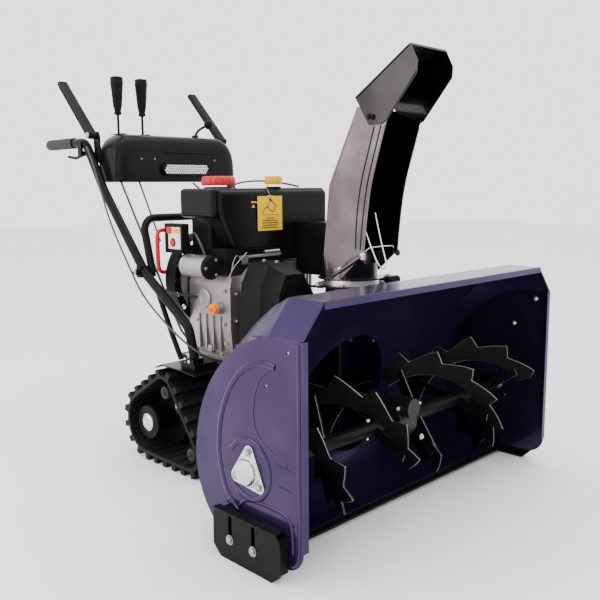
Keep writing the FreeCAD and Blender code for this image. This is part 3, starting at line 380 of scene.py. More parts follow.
# %% [markdown]
# A shape that a lathe could make is turned from a profile of radius and height. Building its rings by
# hand, where a screw modifier would do too, lets several turned shapes share one mesh.
# %% Turned shapes
def axis_turn(axis):
    """The rotation that takes +Z to the named axis, such as '-x'."""
    ways = {"x": (1, 0, 0), "-x": (-1, 0, 0), "y": (0, 1, 0), "-y": (0, -1, 0), "z": (0, 0, 1),
            "-z": (0, 0, -1)}
    return Vector((0, 0, 1)).rotation_difference(Vector(ways[axis])).to_matrix().to_4x4()


def add_turned(mesh, profile, place, axis="z", steps=48):
    """Add a turned shape to a bmesh. The profile is (radius, height) from bottom to top."""
    matrix = Matrix.Translation(place) @ axis_turn(axis)
    rings = []
    for radius, height in profile:
        if radius < 1e-6:
            rings.append([mesh.verts.new(matrix @ Vector((0, 0, height)))])
            continue
        ring = []
        for step in range(steps):
            angle = 2 * math.pi * step / steps
            ring.append(mesh.verts.new(
                matrix @ Vector((radius * math.cos(angle), radius * math.sin(angle), height))))
        rings.append(ring)
    for low, high in zip(rings, rings[1:]):
        for step in range(steps):
            after = (step + 1) % steps
            if len(low) == 1 and len(high) > 1:
                mesh.faces.new((low[0], high[step], high[after]))
            elif len(high) == 1 and len(low) > 1:
                mesh.faces.new((low[step], high[0], low[after]))
            elif len(low) > 1:
                mesh.faces.new((low[step], high[step], high[after], low[after]))
    return mesh


def turned(name, profile, place, material, body="machine", axis="z", steps=48, width=0.0):
    """A turned piece."""
    return own(name, add_turned(bmesh.new(), profile, place, axis, steps), material, body, width)


print("turned shapes ready")

# %% [markdown]
# Cut sheet is a flat outline given thickness. Oblong outlines and small blocks come up so often that
# each has its own helper.
# %% Slabs and blocks
def add_slab(mesh, outline, axis, low, high):
    """Add a flat outline, in the two axes other than the named one, from low to high."""
    def spot(point, level):
        a, b = point
        return {"x": (level, a, b), "y": (a, level, b), "z": (a, b, level)}[axis]
    bottom = [mesh.verts.new(spot(p, low)) for p in outline]
    top = [mesh.verts.new(spot(p, high)) for p in outline]
    mesh.faces.new(bottom)
    mesh.faces.new(list(reversed(top)))
    for here in range(len(outline)):
        after = (here + 1) % len(outline)
        mesh.faces.new((bottom[here], top[here], top[after], bottom[after]))
    return mesh


def slab(name, outline, axis, low, high, material, body="machine", width=0.001):
    """A flat piece with rounded edges."""
    return own(name, add_slab(bmesh.new(), outline, axis, low, high), material, body, width)


def oblong(low_a, high_a, low_b, high_b):
    """The four corners of an upright rectangle."""
    return [(low_a, low_b), (high_a, low_b), (high_a, high_b), (low_a, high_b)]


def add_block(mesh, turn, centre, size):
    """Add a box of the given size to a bmesh, placed in a turned frame."""
    for vertex in bmesh.ops.create_cube(mesh, size=1)["verts"]:
        vertex.co = turn @ Vector([c + v * s for c, v, s in zip(centre, vertex.co, size)])


print("slabs and blocks ready")

# %% [markdown]
# Wires, rolled edges and pressed beads are round bars along a smooth curve. A curve object with a bevel
# keeps the route editable, and squashing it across the sheet turns a wire into a shallow bead.
# %% Bars
def bar(name, points, radius, material, body="machine", closed=False, squash=None):
    """A round bar along a smooth curve. squash = (axis, factor) flattens it about its own middle."""
    data = bpy.data.curves.new(name, "CURVE")
    data.dimensions = "3D"
    data.bevel_depth = radius
    data.bevel_resolution = 4
    data.resolution_u = 10
    data.use_fill_caps = not closed
    line = data.splines.new("NURBS")
    line.points.add(len(points) - 1)
    middle = sum((Vector(p) for p in points), Vector()) / len(points)
    for control, point in zip(line.points, points):
        control.co = (*(Vector(point) - middle), 1)
    line.order_u = 3
    line.use_cyclic_u = closed
    line.use_endpoint_u = not closed
    data.materials.append(material)
    piece = bpy.data.objects.new(name, data)
    piece.location = middle
    if squash:
        piece.scale["xyz".index(squash[0])] = squash[1]
    bpy.context.scene.collection.objects.link(piece)
    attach(piece, body)
    return piece


print("bars ready")

# %% [markdown]
# The fixings are hex heads on washers. A six-sided turned shape makes the head, and a longer, thinner one
# through it makes the thread that shows past a nut.
# %% Bolts and circles
WASHER = 0.0012


def add_bolt(mesh, place, axis, size=0.005, height=0.005, washer=True, nut_tip=0.0):
    """Add a hex head on its washer. size is the head's half width across corners."""
    level = 0
    if washer:
        level = WASHER
        add_turned(mesh, [(0, 0), (size * 1.35, 0), (size * 1.35, level), (0, level)], place, axis, 24)
    crown = [(0, level), (size, level), (size, level + height * 0.8), (size * 0.82, level + height),
             (0, level + height)]
    add_turned(mesh, crown, place, axis, 6)
    if nut_tip:
        add_turned(mesh, [(0, level), (size * 0.5, level), (size * 0.5, level + height + nut_tip),
                          (0, level + height + nut_tip)], place, axis, 16)


def on_circle(centre, radius, degrees):
    """The point on a circle at an angle in degrees."""
    angle = math.radians(degrees)
    return centre[0] + radius * math.cos(angle), centre[1] + radius * math.sin(angle)


def arc(centre, radius, start, stop, steps=16):
    """Points along a circle between two angles in degrees."""
    return [on_circle(centre, radius, start + (stop - start) * i / steps) for i in range(steps + 1)]


print("washers are", WASHER * 1000, "mm thick")

# %% [markdown]
# ## Auger housing: pressed end plates
# Each end plate is stiffened by a pressed bead that follows its curved back edge, a round boss for
# the bearing, a crescent crease and a shallow recess above the skid shoe. They are raised a few
# millimetres from the sheet, so each one is a flattened bar half sunk in the plate. The front edge is
# rolled, and shows as one long bright line. Both plates carry the same pressings, mirrored.
# %% End plates
PLATE_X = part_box("side_plates")[1].x
AUGER = Vector((0, -0.580, 0.215))


def on_plate(x, points):
    """Put an outline in Y and Z on a plate at one X."""
    return [(x, y, z) for y, z in points]


for side_name, side in SIDES:
    x = side * PLATE_X
    bead_points = [(-0.668, 0.462), (-0.640, 0.468), (-0.600, 0.460), (-0.556, 0.436),
                   (-0.518, 0.392), (-0.492, 0.340), (-0.478, 0.285), (-0.476, 0.230),
                   (-0.486, 0.180), (-0.508, 0.135), (-0.540, 0.112)]
    bar("plate_bead_" + side_name, on_plate(x, bead_points), 0.0075, violet, squash=("x", 0.45))
    crease = [(-0.668, 0.462), (-0.636, 0.448), (-0.610, 0.415), (-0.597, 0.370), (-0.597, 0.330),
              (-0.612, 0.300), (-0.650, 0.275), (-0.700, 0.258)]
    bar("plate_crease_" + side_name, on_plate(x, crease), 0.0028, violet, squash=("x", 0.6))
    boss = arc((AUGER.y, AUGER.z + 0.004), 0.068, 30, 320, 14)
    bar("plate_boss_" + side_name, on_plate(x, boss), 0.007, violet, squash=("x", 0.5))
    recess = [(-0.545, 0.122), (-0.560, 0.145), (-0.600, 0.152), (-0.690, 0.152), (-0.712, 0.140),
              (-0.716, 0.100), (-0.716, 0.070)]
    bar("plate_recess_" + side_name, on_plate(x, recess), 0.0045, violet, squash=("x", 0.5))
    rim = [(-0.738, 0.520), (-0.738, 0.300), (-0.738, 0.082), (-0.730, 0.050), (-0.700, 0.038),
           (-0.640, 0.036)]
    bar("plate_rim_" + side_name, on_plate(x, rim), 0.005, violet, squash=("x", 0.6))
    # Two dark slabs on each plate are painted shade for the inside of its slits.
    slit_shade = bmesh.new()
    for low_y, high_y, level in ((-0.716, -0.668, 0.251), (-0.716, -0.674, 0.206)):
        add_slab(slit_shade, [(low_y, level - 0.002), (high_y, level), (high_y, level + 0.003),
                         (low_y, level + 0.002)], "x", x - side * 0.001, x + side * 0.0006)
    own("plate_slits_" + side_name, slit_shade, cast_black)
print("pressings on both end plates at X =", round(PLATE_X, 3))

# %% [markdown]
# ## Auger bearings and hex fasteners
# The bearing flange is a rounded triangle of zinc-plated sheet with a domed cap pressed over the
# shaft's end. The outline is three round lobes joined by straight edges. The hex heads of the bearings,
# the skid shoes and the deck share one mesh, because together they stand in for one CAD piece.
# %% Bearings and hex heads
BEARING_ANGLES = (95, 215, 335)
BEARING_REACH = 0.046
FLANGE = 0.004


def lobe_outline(centre, reach, radius, steps=10):
    """Three equal lobes round a centre, joined by straight edges."""
    points = []
    for angle in BEARING_ANGLES:
        points += arc(on_circle(centre, reach, angle), radius, angle - 58, angle + 58, steps)
    return points


bearings = bmesh.new()
bolts = bmesh.new()
for side, way in OUTWARD.items():
    face = side * PLATE_X
    outline = lobe_outline((AUGER.y, AUGER.z), BEARING_REACH, 0.0145)
    add_slab(bearings, outline, "x", face, face + side * FLANGE)
    cap = [(0.036, 0.0035), (0.034, 0.006), (0.0305, 0.007), (0.0295, 0.014), (0.027, 0.0175),
           (0.020, 0.0195), (0, 0.0198)]
    add_turned(bearings, cap, (face, AUGER.y, AUGER.z), way, 48)
    for angle in BEARING_ANGLES:
        y, z = on_circle((AUGER.y, AUGER.z), BEARING_REACH, angle)
        add_bolt(bolts, (face + side * FLANGE, y, z), way, 0.0072, 0.0055)
bearing_flanges = own("bearing_flanges", bearings, zinc, width=0.0008)
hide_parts("auger_bearings")
shoe_face = abs(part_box("skid_shoe_right")[0].x) + 0.0004
SHOE_BOLTS_Y = (-0.540, -0.618)
for side, way in OUTWARD.items():
    for y in SHOE_BOLTS_Y:
        add_bolt(bolts, (side * shoe_face, y, 0.050), way, 0.0085, 0.0052)
for x in (-0.165, 0.122):
    for y in (-0.060, 0.060):
        add_bolt(bolts, (x, y, 0.337), "z", 0.0068, 0.006)
hex_heads = own("hex_heads", bolts, bolt_zinc, width=0.0003)
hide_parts("hex_bolts")
print("bearing flanges at", round(PLATE_X, 3), "and hex heads made")

# %% [markdown]
# ## Auger flights
# Each half of the auger is two toothed steel ribbons round a tube, held by flat spokes. The teeth are
# laser-cut: the edge falls away gently behind each tip and then drops into a notch. The ribbon is made
# as a smooth helical band whose outer radius follows that saw, at the same place as the CAD one. The
# cut edges' bevel is given zinc, a painted highlight along them.
# %% Auger flights
TEETH = 9
TIP, ROOT, INSIDE, THICK = 0.1692, 0.138, 0.098, 0.005
RISE = 0.80
FIRST_TURN, SWEEP, END_GAP = 40, 300, 0.008


def saw_edge(part):
    """The ribbon's outer radius at a part of its length."""
    phase = (part * TEETH) % 1
    if phase < RISE:
        return ROOT + (TIP - ROOT) * (phase / RISE) ** 1.3
    return TIP + (ROOT - TIP) * (phase - RISE) / (1 - RISE)


def flights(name, node_name, side, body="auger"):
    """One half of the auger, following the CAD flight's own ends."""
    low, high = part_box(node_name)
    inner_x, outer_x = (high.x, low.x) if side < 0 else (low.x, high.x)
    mesh = bmesh.new()
    steps = 180

    def station(first, part):
        """The turn and the X of a ribbon at a part of its length."""
        span = outer_x - inner_x - 2 * END_GAP * side
        return math.radians(first + FIRST_TURN + SWEEP * side * part), inner_x + END_GAP * side + span * part

    for first in (0, 180):
        rings = []
        for step in range(steps + 1):
            part = step / steps
            angle, x = station(first, part)
            away = Vector((0, math.cos(angle), math.sin(angle)))
            heart = Vector((x, AUGER.y, AUGER.z))
            flat = Vector((THICK / 2, 0, 0))
            rings.append([mesh.verts.new(heart + away * reach + flat * face) for reach, face in
                          ((INSIDE, -1), (saw_edge(part), -1), (saw_edge(part), 1), (INSIDE, 1))])
        for here, there in zip(rings, rings[1:]):
            for a in range(4):
                b = (a + 1) % 4
                mesh.faces.new((here[a], here[b], there[b], there[a]))
        mesh.faces.new(rings[0])
        mesh.faces.new(list(reversed(rings[-1])))
        for part in (0.06, 0.5, 0.94):
            angle, x = station(first, part)
            turn = Matrix.Translation((x, AUGER.y, AUGER.z)) @ Matrix.Rotation(angle, 4, "X")
            spoke = bmesh.ops.create_cube(mesh, size=1)["verts"]
            for vertex in spoke:
                shape = Vector((vertex.co.x * 0.006, 0.016 + (vertex.co.y + 0.5) * 0.104,
                                vertex.co.z * (0.026 + 0.012 * (vertex.co.y + 0.5))))
                vertex.co = turn @ shape
    tube_low, tube_high = sorted((inner_x, outer_x))
    add_turned(mesh, [(0.0165, 0), (0.021, 0), (0.021, tube_high - tube_low),
                      (0.0165, tube_high - tube_low)], (tube_low, AUGER.y, AUGER.z), "x", 32)
    piece = own(name, mesh, satin_black, body)
    # The zinc on the bevel is a painted highlight along the cut edges.
    piece.data.materials.append(bolt_zinc)
    edge_highlight = soften(piece, 0.0007, 1)
    edge_highlight.material = 1
    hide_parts(node_name)
    return piece


flights("toothed_flights_right", "auger_flight_right", -1)
flights("toothed_flights_left", "auger_flight_left", 1)
print("flights made")

# %% [markdown]
# ## Housing hem
# The front edge of the top sheet is hemmed, which leaves a round lip along the top and down the two
# slanted shoulders, and a seam runs back from each lower corner.
# %% Housing hem
HEM_Y = -0.7455
SHOULDER = 0.446
SEAM_X = 0.5085
bar("housing_hem", [(-SHOULDER, HEM_Y, 0.598), (0, HEM_Y, 0.598), (SHOULDER, HEM_Y, 0.598)], 0.0028, violet)
for side_name, side in SIDES:
    bar("shoulder_hem_" + side_name, [(side * SHOULDER, HEM_Y, 0.597), (side * 0.478, HEM_Y, 0.561),
                                      (side * SEAM_X, HEM_Y, 0.526)], 0.0026, violet)
    bar("shoulder_seam_" + side_name, [(side * SEAM_X, -0.742, 0.525), (side * SEAM_X, -0.646, 0.525),
                                       (side * SEAM_X, -0.60, 0.519)], 0.0022, violet)
print("hem made at Y =", HEM_Y)

# %% [markdown]
# ## Inner bolts and drum flange
# Inside, a row of bolt heads holds the round drum of the second stage, and two bolts pass through each
# end plate near the top. The heads stand on the sheet, which leans forwards higher up.
# %% Inner bolts and drum flange
DRUM_Z = 0.260
DRUM_BOLT_CIRCLE = 0.182
LEAN_START, LEAN = 0.33, 0.16
inner_bolts = bmesh.new()
for side in OUTWARD:
    for y, z in ((-0.706, 0.499), (-0.638, 0.418)):
        add_bolt(inner_bolts, (side * 0.507, y, z), OUTWARD[-side], 0.0065, 0.005, nut_tip=0.004)
for degrees in range(15, 375, 30):
    x, z = on_circle((0, DRUM_Z), DRUM_BOLT_CIRCLE, degrees)
    lift = max(0.0, z - LEAN_START) * LEAN
    if z < 0.40:
        add_bolt(inner_bolts, (x, -0.392 - lift, z), "-y", 0.0062, 0.005)
own("inner_bolt_heads", inner_bolts, zinc)
own("drum_flange", add_turned(bmesh.new(), [(0.166, 0), (0.171, 0), (0.171, 0.010), (0.166, 0.010)],
                              (0, -0.384, DRUM_Z), "-y", 72), violet, width=0.0015)
print("inner bolts and drum flange made")

# %% [markdown]
# ## Chute walls
# The tall sheet walls have two long pressed creases that run from the foot bolt to the cap, a rolled
# front edge and a folded foot. They are thin bars half sunk in the wall, most of them flattened across
# it, and all of them ride on the chute so that they turn with it.
# %% Chute walls
FRONT_EDGE = [(-0.4735, 0.652), (-0.4790, 0.721), (-0.4950, 0.834), (-0.5225, 0.922),
              (-0.5420, 0.985)]


def beside(side, points, back=0.0):
    """Put an outline in Y and Z on the outside of one chute wall."""
    return [(CHUTE_X + side * WALL, y + back, z) for y, z in points]


for side_name, side in SIDES:
    bar("chute_front_edge_" + side_name, beside(side, FRONT_EDGE, 0.001), 0.0024, gloss_black, "chute",
        squash=("x", 0.4))
    for number, (back, low_back) in enumerate(((0.014, 0.006), (0.036, 0.022))):
        route = [(-0.466 + low_back, 0.662)] + [(y + back, z) for y, z in FRONT_EDGE[1:]]
        # The creases take the darker satin black, as painted shade in their folds.
        bar("chute_crease_%s_%d" % (side_name, number), beside(side, route), 0.0024, satin_black, "chute",
            squash=("x", 0.38))
    foot = [(-0.464, 0.652), (-0.430, 0.640), (-0.398, 0.612), (-0.372, 0.590)]
    bar("chute_foot_fold_" + side_name, beside(side, foot), 0.0028, gloss_black, "chute")
    rear = [(-0.337, 0.600), (-0.329, 0.650), (-0.339, 0.742), (-0.350, 0.835), (-0.404, 0.945),
            (-0.428, 0.996)]
    bar("chute_rear_edge_" + side_name, beside(side, rear, -0.002), 0.0020, gloss_black, "chute",
        squash=("x", 0.4))
print("chute creases and edges made")

# %% [markdown]
# ## Chute bolts and cap edges
# Two bolts a side hold the chute's foot, and one a side stands at the foot of the cap. The cap's folded
# edges are the only parts here that tilt, so they ride on the cap.
# %% Chute bolts and cap edges
chute_bolts = bmesh.new()
cap_bolts = bmesh.new()
for side, way in OUTWARD.items():
    add_bolt(chute_bolts, (CHUTE_X + side * (WALL + 0.003), -0.471, 0.646), way, 0.0072, 0.005)
    add_bolt(chute_bolts, (CHUTE_X + side * WALL, -0.388, 0.603), way, 0.0062, 0.005)
    add_bolt(cap_bolts, (CHUTE_X + side * (WALL + 0.0122), -0.498, 1.008), way, 0.0058, 0.0040)
own("chute_bolts", chute_bolts, zinc, "chute")
own("cap_bolts", cap_bolts, satin_black, "chute")
cap_low, cap_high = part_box("deflector")
for side_name, x in (("right", cap_low.x), ("left", cap_high.x)):
    rim = [(x, -0.446, 1.060), (x, -0.530, 1.115), (x, -0.616, 1.171)]
    bar("cap_upper_edge_" + side_name, rim, 0.0026, cap_black, "deflector_cap")
    low_rim = [(x, -0.639, 1.106), (x, -0.596, 1.053), (x, -0.552, 1.002)]
    bar("cap_lower_edge_" + side_name, low_rim, 0.0020, cap_black, "deflector_cap")
print("cap edges between", round(cap_low.x, 3), "and", round(cap_high.x, 3))

# %% [markdown]
# ## Chute gear and base
# A toothed ring under the chute meets a small gear, and bolts hold the fixed base below it. The teeth
# are blocks set round a circle. They turn with the chute, while the bolts stay with the machine.
# %% Chute gear and base
CHUTE_Y = -0.365
GEAR_TEETH = 54
gear = bmesh.new()
for tooth in range(GEAR_TEETH):
    angle = 2 * math.pi * tooth / GEAR_TEETH
    turn = Matrix.Translation((CHUTE_X, CHUTE_Y, 0.5750)) @ Matrix.Rotation(angle, 4, "Z")
    add_block(gear, turn, (0.0925, 0, 0), (0.006, 0.0052, 0.0030))
own("chute_gear_teeth", gear, black_plastic, "chute")
base_bolts = bmesh.new()
for degrees in (28, 75, 150, 205, 262, 318):
    x, y = on_circle((CHUTE_X, CHUTE_Y), 0.0885, degrees)
    add_bolt(base_bolts, (x, y, 0.557), "z", 0.0062, 0.0045)
add_bolt(base_bolts, (-0.034, -0.332, 0.557), "z", 0.0068, 0.006, nut_tip=0.004)
add_bolt(base_bolts, (0.193, -0.400, 0.570), "z", 0.0066, 0.005)
own("chute_base_bolts", base_bolts, bolt_zinc)
print(GEAR_TEETH, "gear teeth round X =", round(CHUTE_X, 3))

# %% [markdown]
# ## Chute guard
# Bent wires at the chute's foot keep hands away from the opening, and a thicker bar slopes down one
# side. Each wire is one bar with a few given points.
# %% Chute guard
near, far = CHUTE_X - WALL + 0.0025, CHUTE_X + WALL - 0.0025
guard_frame = bar("chute_guard_frame", [(near + 0.001, -0.462, 0.645), (near + 0.010, -0.472, 0.664),
                                        (near + 0.030, -0.474, 0.668), (far - 0.030, -0.474, 0.668),
                                        (far - 0.010, -0.472, 0.664), (far - 0.001, -0.462, 0.645)],
                  0.002, zinc, "chute")
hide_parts("chute_guard")
bar("chute_guard_loop", [(near + 0.006, -0.466, 0.722), (near + 0.012, -0.490, 0.660),
                         (near + 0.017, -0.510, 0.618), (near + 0.034, -0.513, 0.611),
                         (near + 0.052, -0.510, 0.618), (near + 0.048, -0.490, 0.680),
                         (near + 0.044, -0.472, 0.760)], 0.002, zinc, "chute")
bar("chute_guard_bar", [(near - 0.0095, -0.470, 0.646), (near - 0.0095, -0.416, 0.615),
                        (near - 0.0095, -0.362, 0.584)], 0.004, gloss_black, "chute")
print("guard wires between", round(near, 3), "and", round(far, 3))

# %% [markdown]
# ## Track path
# The belt's path is the outline round its three wheels, made of straight runs and arcs. It is worked out
# from the wheels' places and sizes, so ribs and edges all follow one loop, at different depths.
# %% Track path
TRACK_WHEELS = [(-0.078, 0.066, 0.066), (0.142, 0.116, 0.116), (0.045, 0.228, 0.072)]
LUG = 0.018
BELT = 0.010


def loop_round(circles, steps=24):
    """A loop round circles listed counter-clockwise, given as (y, z, radius)."""
    points = []
    for index, (y, z, radius) in enumerate(circles):
        angles = []
        for other in (circles[index - 1], circles[(index + 1) % len(circles)]):
            away = math.atan2(other[1] - z, other[0] - y)
            gap = math.hypot(other[1] - z, other[0] - y)
            angles.append((away, math.acos((radius - other[2]) / gap)))
        start = angles[0][0] + angles[0][1]
        stop = angles[1][0] - angles[1][1]
        while stop < start:
            stop += 2 * math.pi
        while stop - start > 2 * math.pi:
            stop -= 2 * math.pi
        points += [(y + radius * math.cos(start + (stop - start) * i / steps),
                    z + radius * math.sin(start + (stop - start) * i / steps))
                   for i in range(steps + 1)]
    return points


def even_steps(path, count):
    """Evenly spaced places along a closed path, each with its direction."""
    spans = list(zip(path, path[1:] + path[:1]))
    total = sum(math.dist(a, b) for a, b in spans)
    places = []
    for index in range(count):
        left = total * (index + 0.5) / count
        for a, b in spans:
            step = math.dist(a, b)
            if left <= step and step > 1e-9:
                part = left / step
                places.append((a[0] + (b[0] - a[0]) * part, a[1] + (b[1] - a[1]) * part,
                               math.atan2(b[1] - a[1], b[0] - a[0])))
                break
            left -= step
    return places


def track_loop(depth, steps=24):
    """The loop at a depth below the tips of the lugs."""
    return loop_round([(y, z, r - depth) for y, z, r in TRACK_WHEELS], steps)


OUTER = -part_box("track_belts")[0].x
print("track loop has", len(track_loop(LUG)), "points, outer face at X =", round(OUTER, 3))

# %% [markdown]
# ## Belt ribs and edges
# Short ribs stand across the inside of the belt, and small pads stand in three rows on its outside,
# left off where the belt lies on the ground. A rounded bead runs along the belt's outer edge.
# %% Belt ribs and edges
PAD_ROWS = (0.036, 0.090, 0.144)
GROUND_CLEAR = 0.020
for side_name, side in SIDES:
    ribs = bmesh.new()
    for y, z, angle in even_steps(track_loop(LUG + BELT), 22):
        turn = Matrix.Translation((side * (OUTER - 0.043), y, z)) @ Matrix.Rotation(angle, 4, "X")
        add_block(ribs, turn, (0, 0, 0.0012), (0.084, 0.0045, 0.004))
    for y, z, angle in even_steps(track_loop(LUG), 44):
        turn = Matrix.Translation((side * OUTER, y, z)) @ Matrix.Rotation(angle, 4, "X")
        if z > GROUND_CLEAR:
            for offset in PAD_ROWS:
                add_block(ribs, turn, (-side * offset, 0, -0.0012), (0.016, 0.006, 0.003))
    own("belt_ribs_" + side_name, ribs, rubber, width=0.0012)
    edge = [(side * (OUTER - 0.0005), y, z) for y, z in track_loop(LUG + BELT / 2, 6)]
    bar("belt_edge_" + side_name, edge, 0.0048, rubber, closed=True, squash=("x", 0.5))
print("belt ribs and edges made")

# %% [markdown]
# ## Track wheels
# The rear wheel is large and dished, with a zinc cap and a nut. The other two are small and black. Each
# rim and cap is turned, and rides on its own wheel, so that it spins with the track.
# %% Track wheels
WHEEL_NAMES = ("idler_", "wheel_rear_", "sprocket_")
for side_name, side in SIDES:
    for (y, z, _), body_name in zip(TRACK_WHEELS, WHEEL_NAMES):
        large = "rear" in body_name
        way = OUTWARD[side]
        face = side * (OUTER - 0.014)
        wheel_body = body_name + side_name
        dish = 0.052 if large else 0.020
        edge_profile = [(dish - 0.007, -0.0005), (dish - 0.0055, 0.0028), (dish - 0.0018, 0.0028),
                        (dish + 0.0004, 0.0), (dish + 0.0004, -0.0125)]
        turned(body_name + "edge_" + side_name, edge_profile, (face, y, z), black_plastic,
               wheel_body, way, 64)
        boss = 0.022 if large else 0.0135
        cap_profile = [(boss + 0.006, 0.0), (boss + 0.005, 0.0045), (boss, 0.0062),
                       (boss * 0.92, 0.0078), (boss * 0.6, 0.0086), (boss * 0.55, 0.0070),
                       (0, 0.0068)]
        hub_cap = add_turned(bmesh.new(), cap_profile, (face, y, z), way, 48)
        add_bolt(hub_cap, (face + side * 0.0066, y, z), way, boss * 0.34, 0.003)
        for degrees in (90, 210, 330):
            bolt_y, bolt_z = on_circle((y, z), boss * 0.74, degrees)
            add_bolt(hub_cap, (face + side * 0.0080, bolt_y, bolt_z), way, boss * 0.13, 0.0018,
                     washer=False)
        own(body_name + "cap_" + side_name, hub_cap, zinc if large else cast_black, wheel_body)
        if large:
            turned("dish_groove_" + side_name, [(0.0330, -0.001), (0.0345, 0.0012),
                                                (0.0375, 0.0012), (0.0390, -0.001)],
                   (face, y, z), black_plastic, wheel_body, way, 64)
print("wheel rims and caps made")

# %% [markdown]
# ## Latches and tension collars
# A yellow latch stands inside the loop of each track, carried by a black strut and a cross bar. Two
# steel collars sit on each tension rod. They are small, so plain slabs and turned rings are enough.
# %% Latches and tension collars
for side_name, side in SIDES:
    latch = bmesh.new()
    add_slab(latch, [(0.000, 0.176), (0.026, 0.192), (0.038, 0.186), (0.033, 0.170),
                     (0.010, 0.158)], "x", side * 0.262, side * 0.270)
    own("track_latch_" + side_name, latch, yellow, width=0.0015)
    strut = add_turned(bmesh.new(), [(0, 0), (0.006, 0), (0.006, 0.146), (0.009, 0.146),
                                     (0.009, 0.150), (0, 0.150)],
                       (side * 0.124, 0.019, 0.172), OUTWARD[side], 24)
    add_slab(strut, [(-0.060, 0.092), (-0.050, 0.086), (0.030, 0.166), (0.024, 0.176),
                     (0.012, 0.176)], "x", side * 0.236, side * 0.240)
    own("latch_strut_" + side_name, strut, satin_black, width=0.0008)
    yoke = bmesh.new()
    add_turned(yoke, [(0.0125, 0), (0.0145, 0.001), (0.0145, 0.009), (0.0125, 0.010)],
               (side * 0.215, -0.034, 0.095), "y", 32)
    add_turned(yoke, [(0.0125, 0), (0.0140, 0.001), (0.0140, 0.006), (0.0125, 0.007)],
               (side * 0.215, 0.015, 0.095), "y", 32)
    own("tension_collars_" + side_name, yoke, steel)
print("latches, struts and collars made")

# %% [markdown]
# ## Engine covers
# The top cowl is two smooth moulded blocks: the fuel tank lies across the whole width, and a deeper
# front cover hangs below it. Each is a plain outline whose edges a wide bevel rounds generously, as a
# moulder's tool would. A subdivided cage would be smoother still, but harder to keep to its size.
# %% Tank and cowl
def rounded_slab(name, outline, axis, low, high, material, radius, body="machine", segments=4):
    """An outline given thickness, with generously rounded edges."""
    piece = own(name, add_slab(bmesh.new(), outline, axis, low, high), material, body)
    soften(piece, radius, segments)
    return piece


def rounded_block(name, low, high, material, radius, body="machine", segments=5):
    """A box with generously rounded edges."""
    outline = oblong(low[1], high[1], low[2], high[2])
    return rounded_slab(name, outline, "x", low[0], high[0], material, radius, body, segments)


cowl_low, cowl_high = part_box("engine_shroud")
TANK_TOP = cowl_high.z - 0.010
tank = rounded_block("fuel_tank_cover", (cowl_low.x, -0.066, 0.742),
                     (cowl_high.x, cowl_high.y - 0.001, TANK_TOP), shroud_black, 0.013)
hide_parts("engine_shroud")
front_cover = [(-0.172, 0.822), (0.278, 0.822), (0.278, 0.640), (-0.072, 0.640), (-0.118, 0.655),
               (-0.152, 0.730), (-0.172, 0.760)]
rounded_slab("front_cowl", front_cover, "y", cowl_low.y, 0.060, shroud_black, 0.014)
rounded_block("cowl_skirt", (-0.146, -0.064, 0.604), (0.274, 0.092, 0.652), black_plastic, 0.006)
rounded_block("cowl_rear", (-0.150, 0.000, 0.640), (0.270, 0.094, 0.750), black_plastic, 0.008)
print("cowl top at", round(TANK_TOP, 3))

# %% [markdown]
# Thin seams, a slot, a row of vents, a plain strip and a small mark break up the front cover. Dark
# bars half sunk in the surface read as seams without cutting the block. The filler necks are turned.
# %% Marks on the cowl
VENT_PITCH = 0.013
bar("cowl_seam_side", [(-0.1905, -0.044, 0.762), (-0.1905, 0.020, 0.762), (-0.1905, 0.084, 0.762)],
    0.0011, cast_black)
bar("tank_corner_line", [(-0.1495, -0.0745, 0.802), (-0.1495, -0.0700, 0.770),
                         (-0.1455, -0.0735, 0.742)], 0.0010, cast_black)
rounded_block("cowl_slot", (-0.103, -0.0762, 0.694), (-0.058, -0.0730, 0.706), satin_black, 0.0014)
for level in range(5):
    foot = 0.672 + VENT_PITCH * level
    rounded_block("cowl_vent_%d" % level, (0.205, -0.0764, foot), (0.262, -0.0735, foot + 0.007),
                  satin_black, 0.0012, segments=2)
rounded_block("cowl_strip", (-0.052, -0.0760, 0.784), (0.022, -0.0742, 0.7885), card, 0.0004,
              segments=1)
slab("cowl_mark", [(-0.050, 0.7705), (-0.038, 0.7705), (-0.044, 0.7800)], "y", -0.0760, -0.0742,
     card, width=0.0003)
for name, x, y, radius in (("fuel_neck", -0.095, 0.025, 0.050), ("oil_neck", 0.075, -0.036, 0.027)):
    turned(name, [(radius * 0.62, -0.004), (radius * 0.92, 0.0), (radius * 0.86, 0.005),
                  (radius * 0.62, 0.0055)], (x, y, TANK_TOP - 0.001), shroud_black)
print("seams, vents and necks made")

# %% [markdown]
# ## Screw caps
# The red fuel cap and the smaller yellow one have finger ribs round the skirt and a raised bar on top.
# A cosine wave round each ring of points makes the ribs, so their number is one value.
# %% Screw caps
def ribbed_cap(name, node_name, body, centre, radius, low, high, count, material):
    """A screw cap with finger ribs round its skirt and a raised bar on top."""
    mesh = bmesh.new()
    steps = count * 6
    rings = []
    for level, scale, rib in ((0, 0.97, 1), (0.10, 1, 1), (0.72, 1, 1), (0.88, 0.95, 0.5),
                              (1.0, 0.86, 0), (1.0, 0.60, 0), (0.93, 0.54, 0)):
        ring = []
        for step in range(steps):
            angle = 2 * math.pi * step / steps
            wave = 0.5 + 0.5 * math.cos(count * angle)
            r = radius * scale * (1 - 0.045 * rib * (1 - wave ** 0.5))
            ring.append(mesh.verts.new((centre[0] + r * math.cos(angle),
                                        centre[1] + r * math.sin(angle), low + (high - low) * level)))
        rings.append(ring)
    for here, there in zip(rings, rings[1:]):
        for step in range(steps):
            after = (step + 1) % steps
            mesh.faces.new((here[step], here[after], there[after], there[step]))
    mesh.faces.new(rings[-1])
    mesh.faces.new(list(reversed(rings[0])))
    long, wide = radius * 0.5, radius * 0.09
    add_slab(mesh, oblong(centre[0] - long, centre[0] + long, centre[1] - wide, centre[1] + wide),
             "z", low + (high - low) * 0.90, high)
    piece = own(name, mesh, material, body)
    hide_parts(node_name)
    return piece


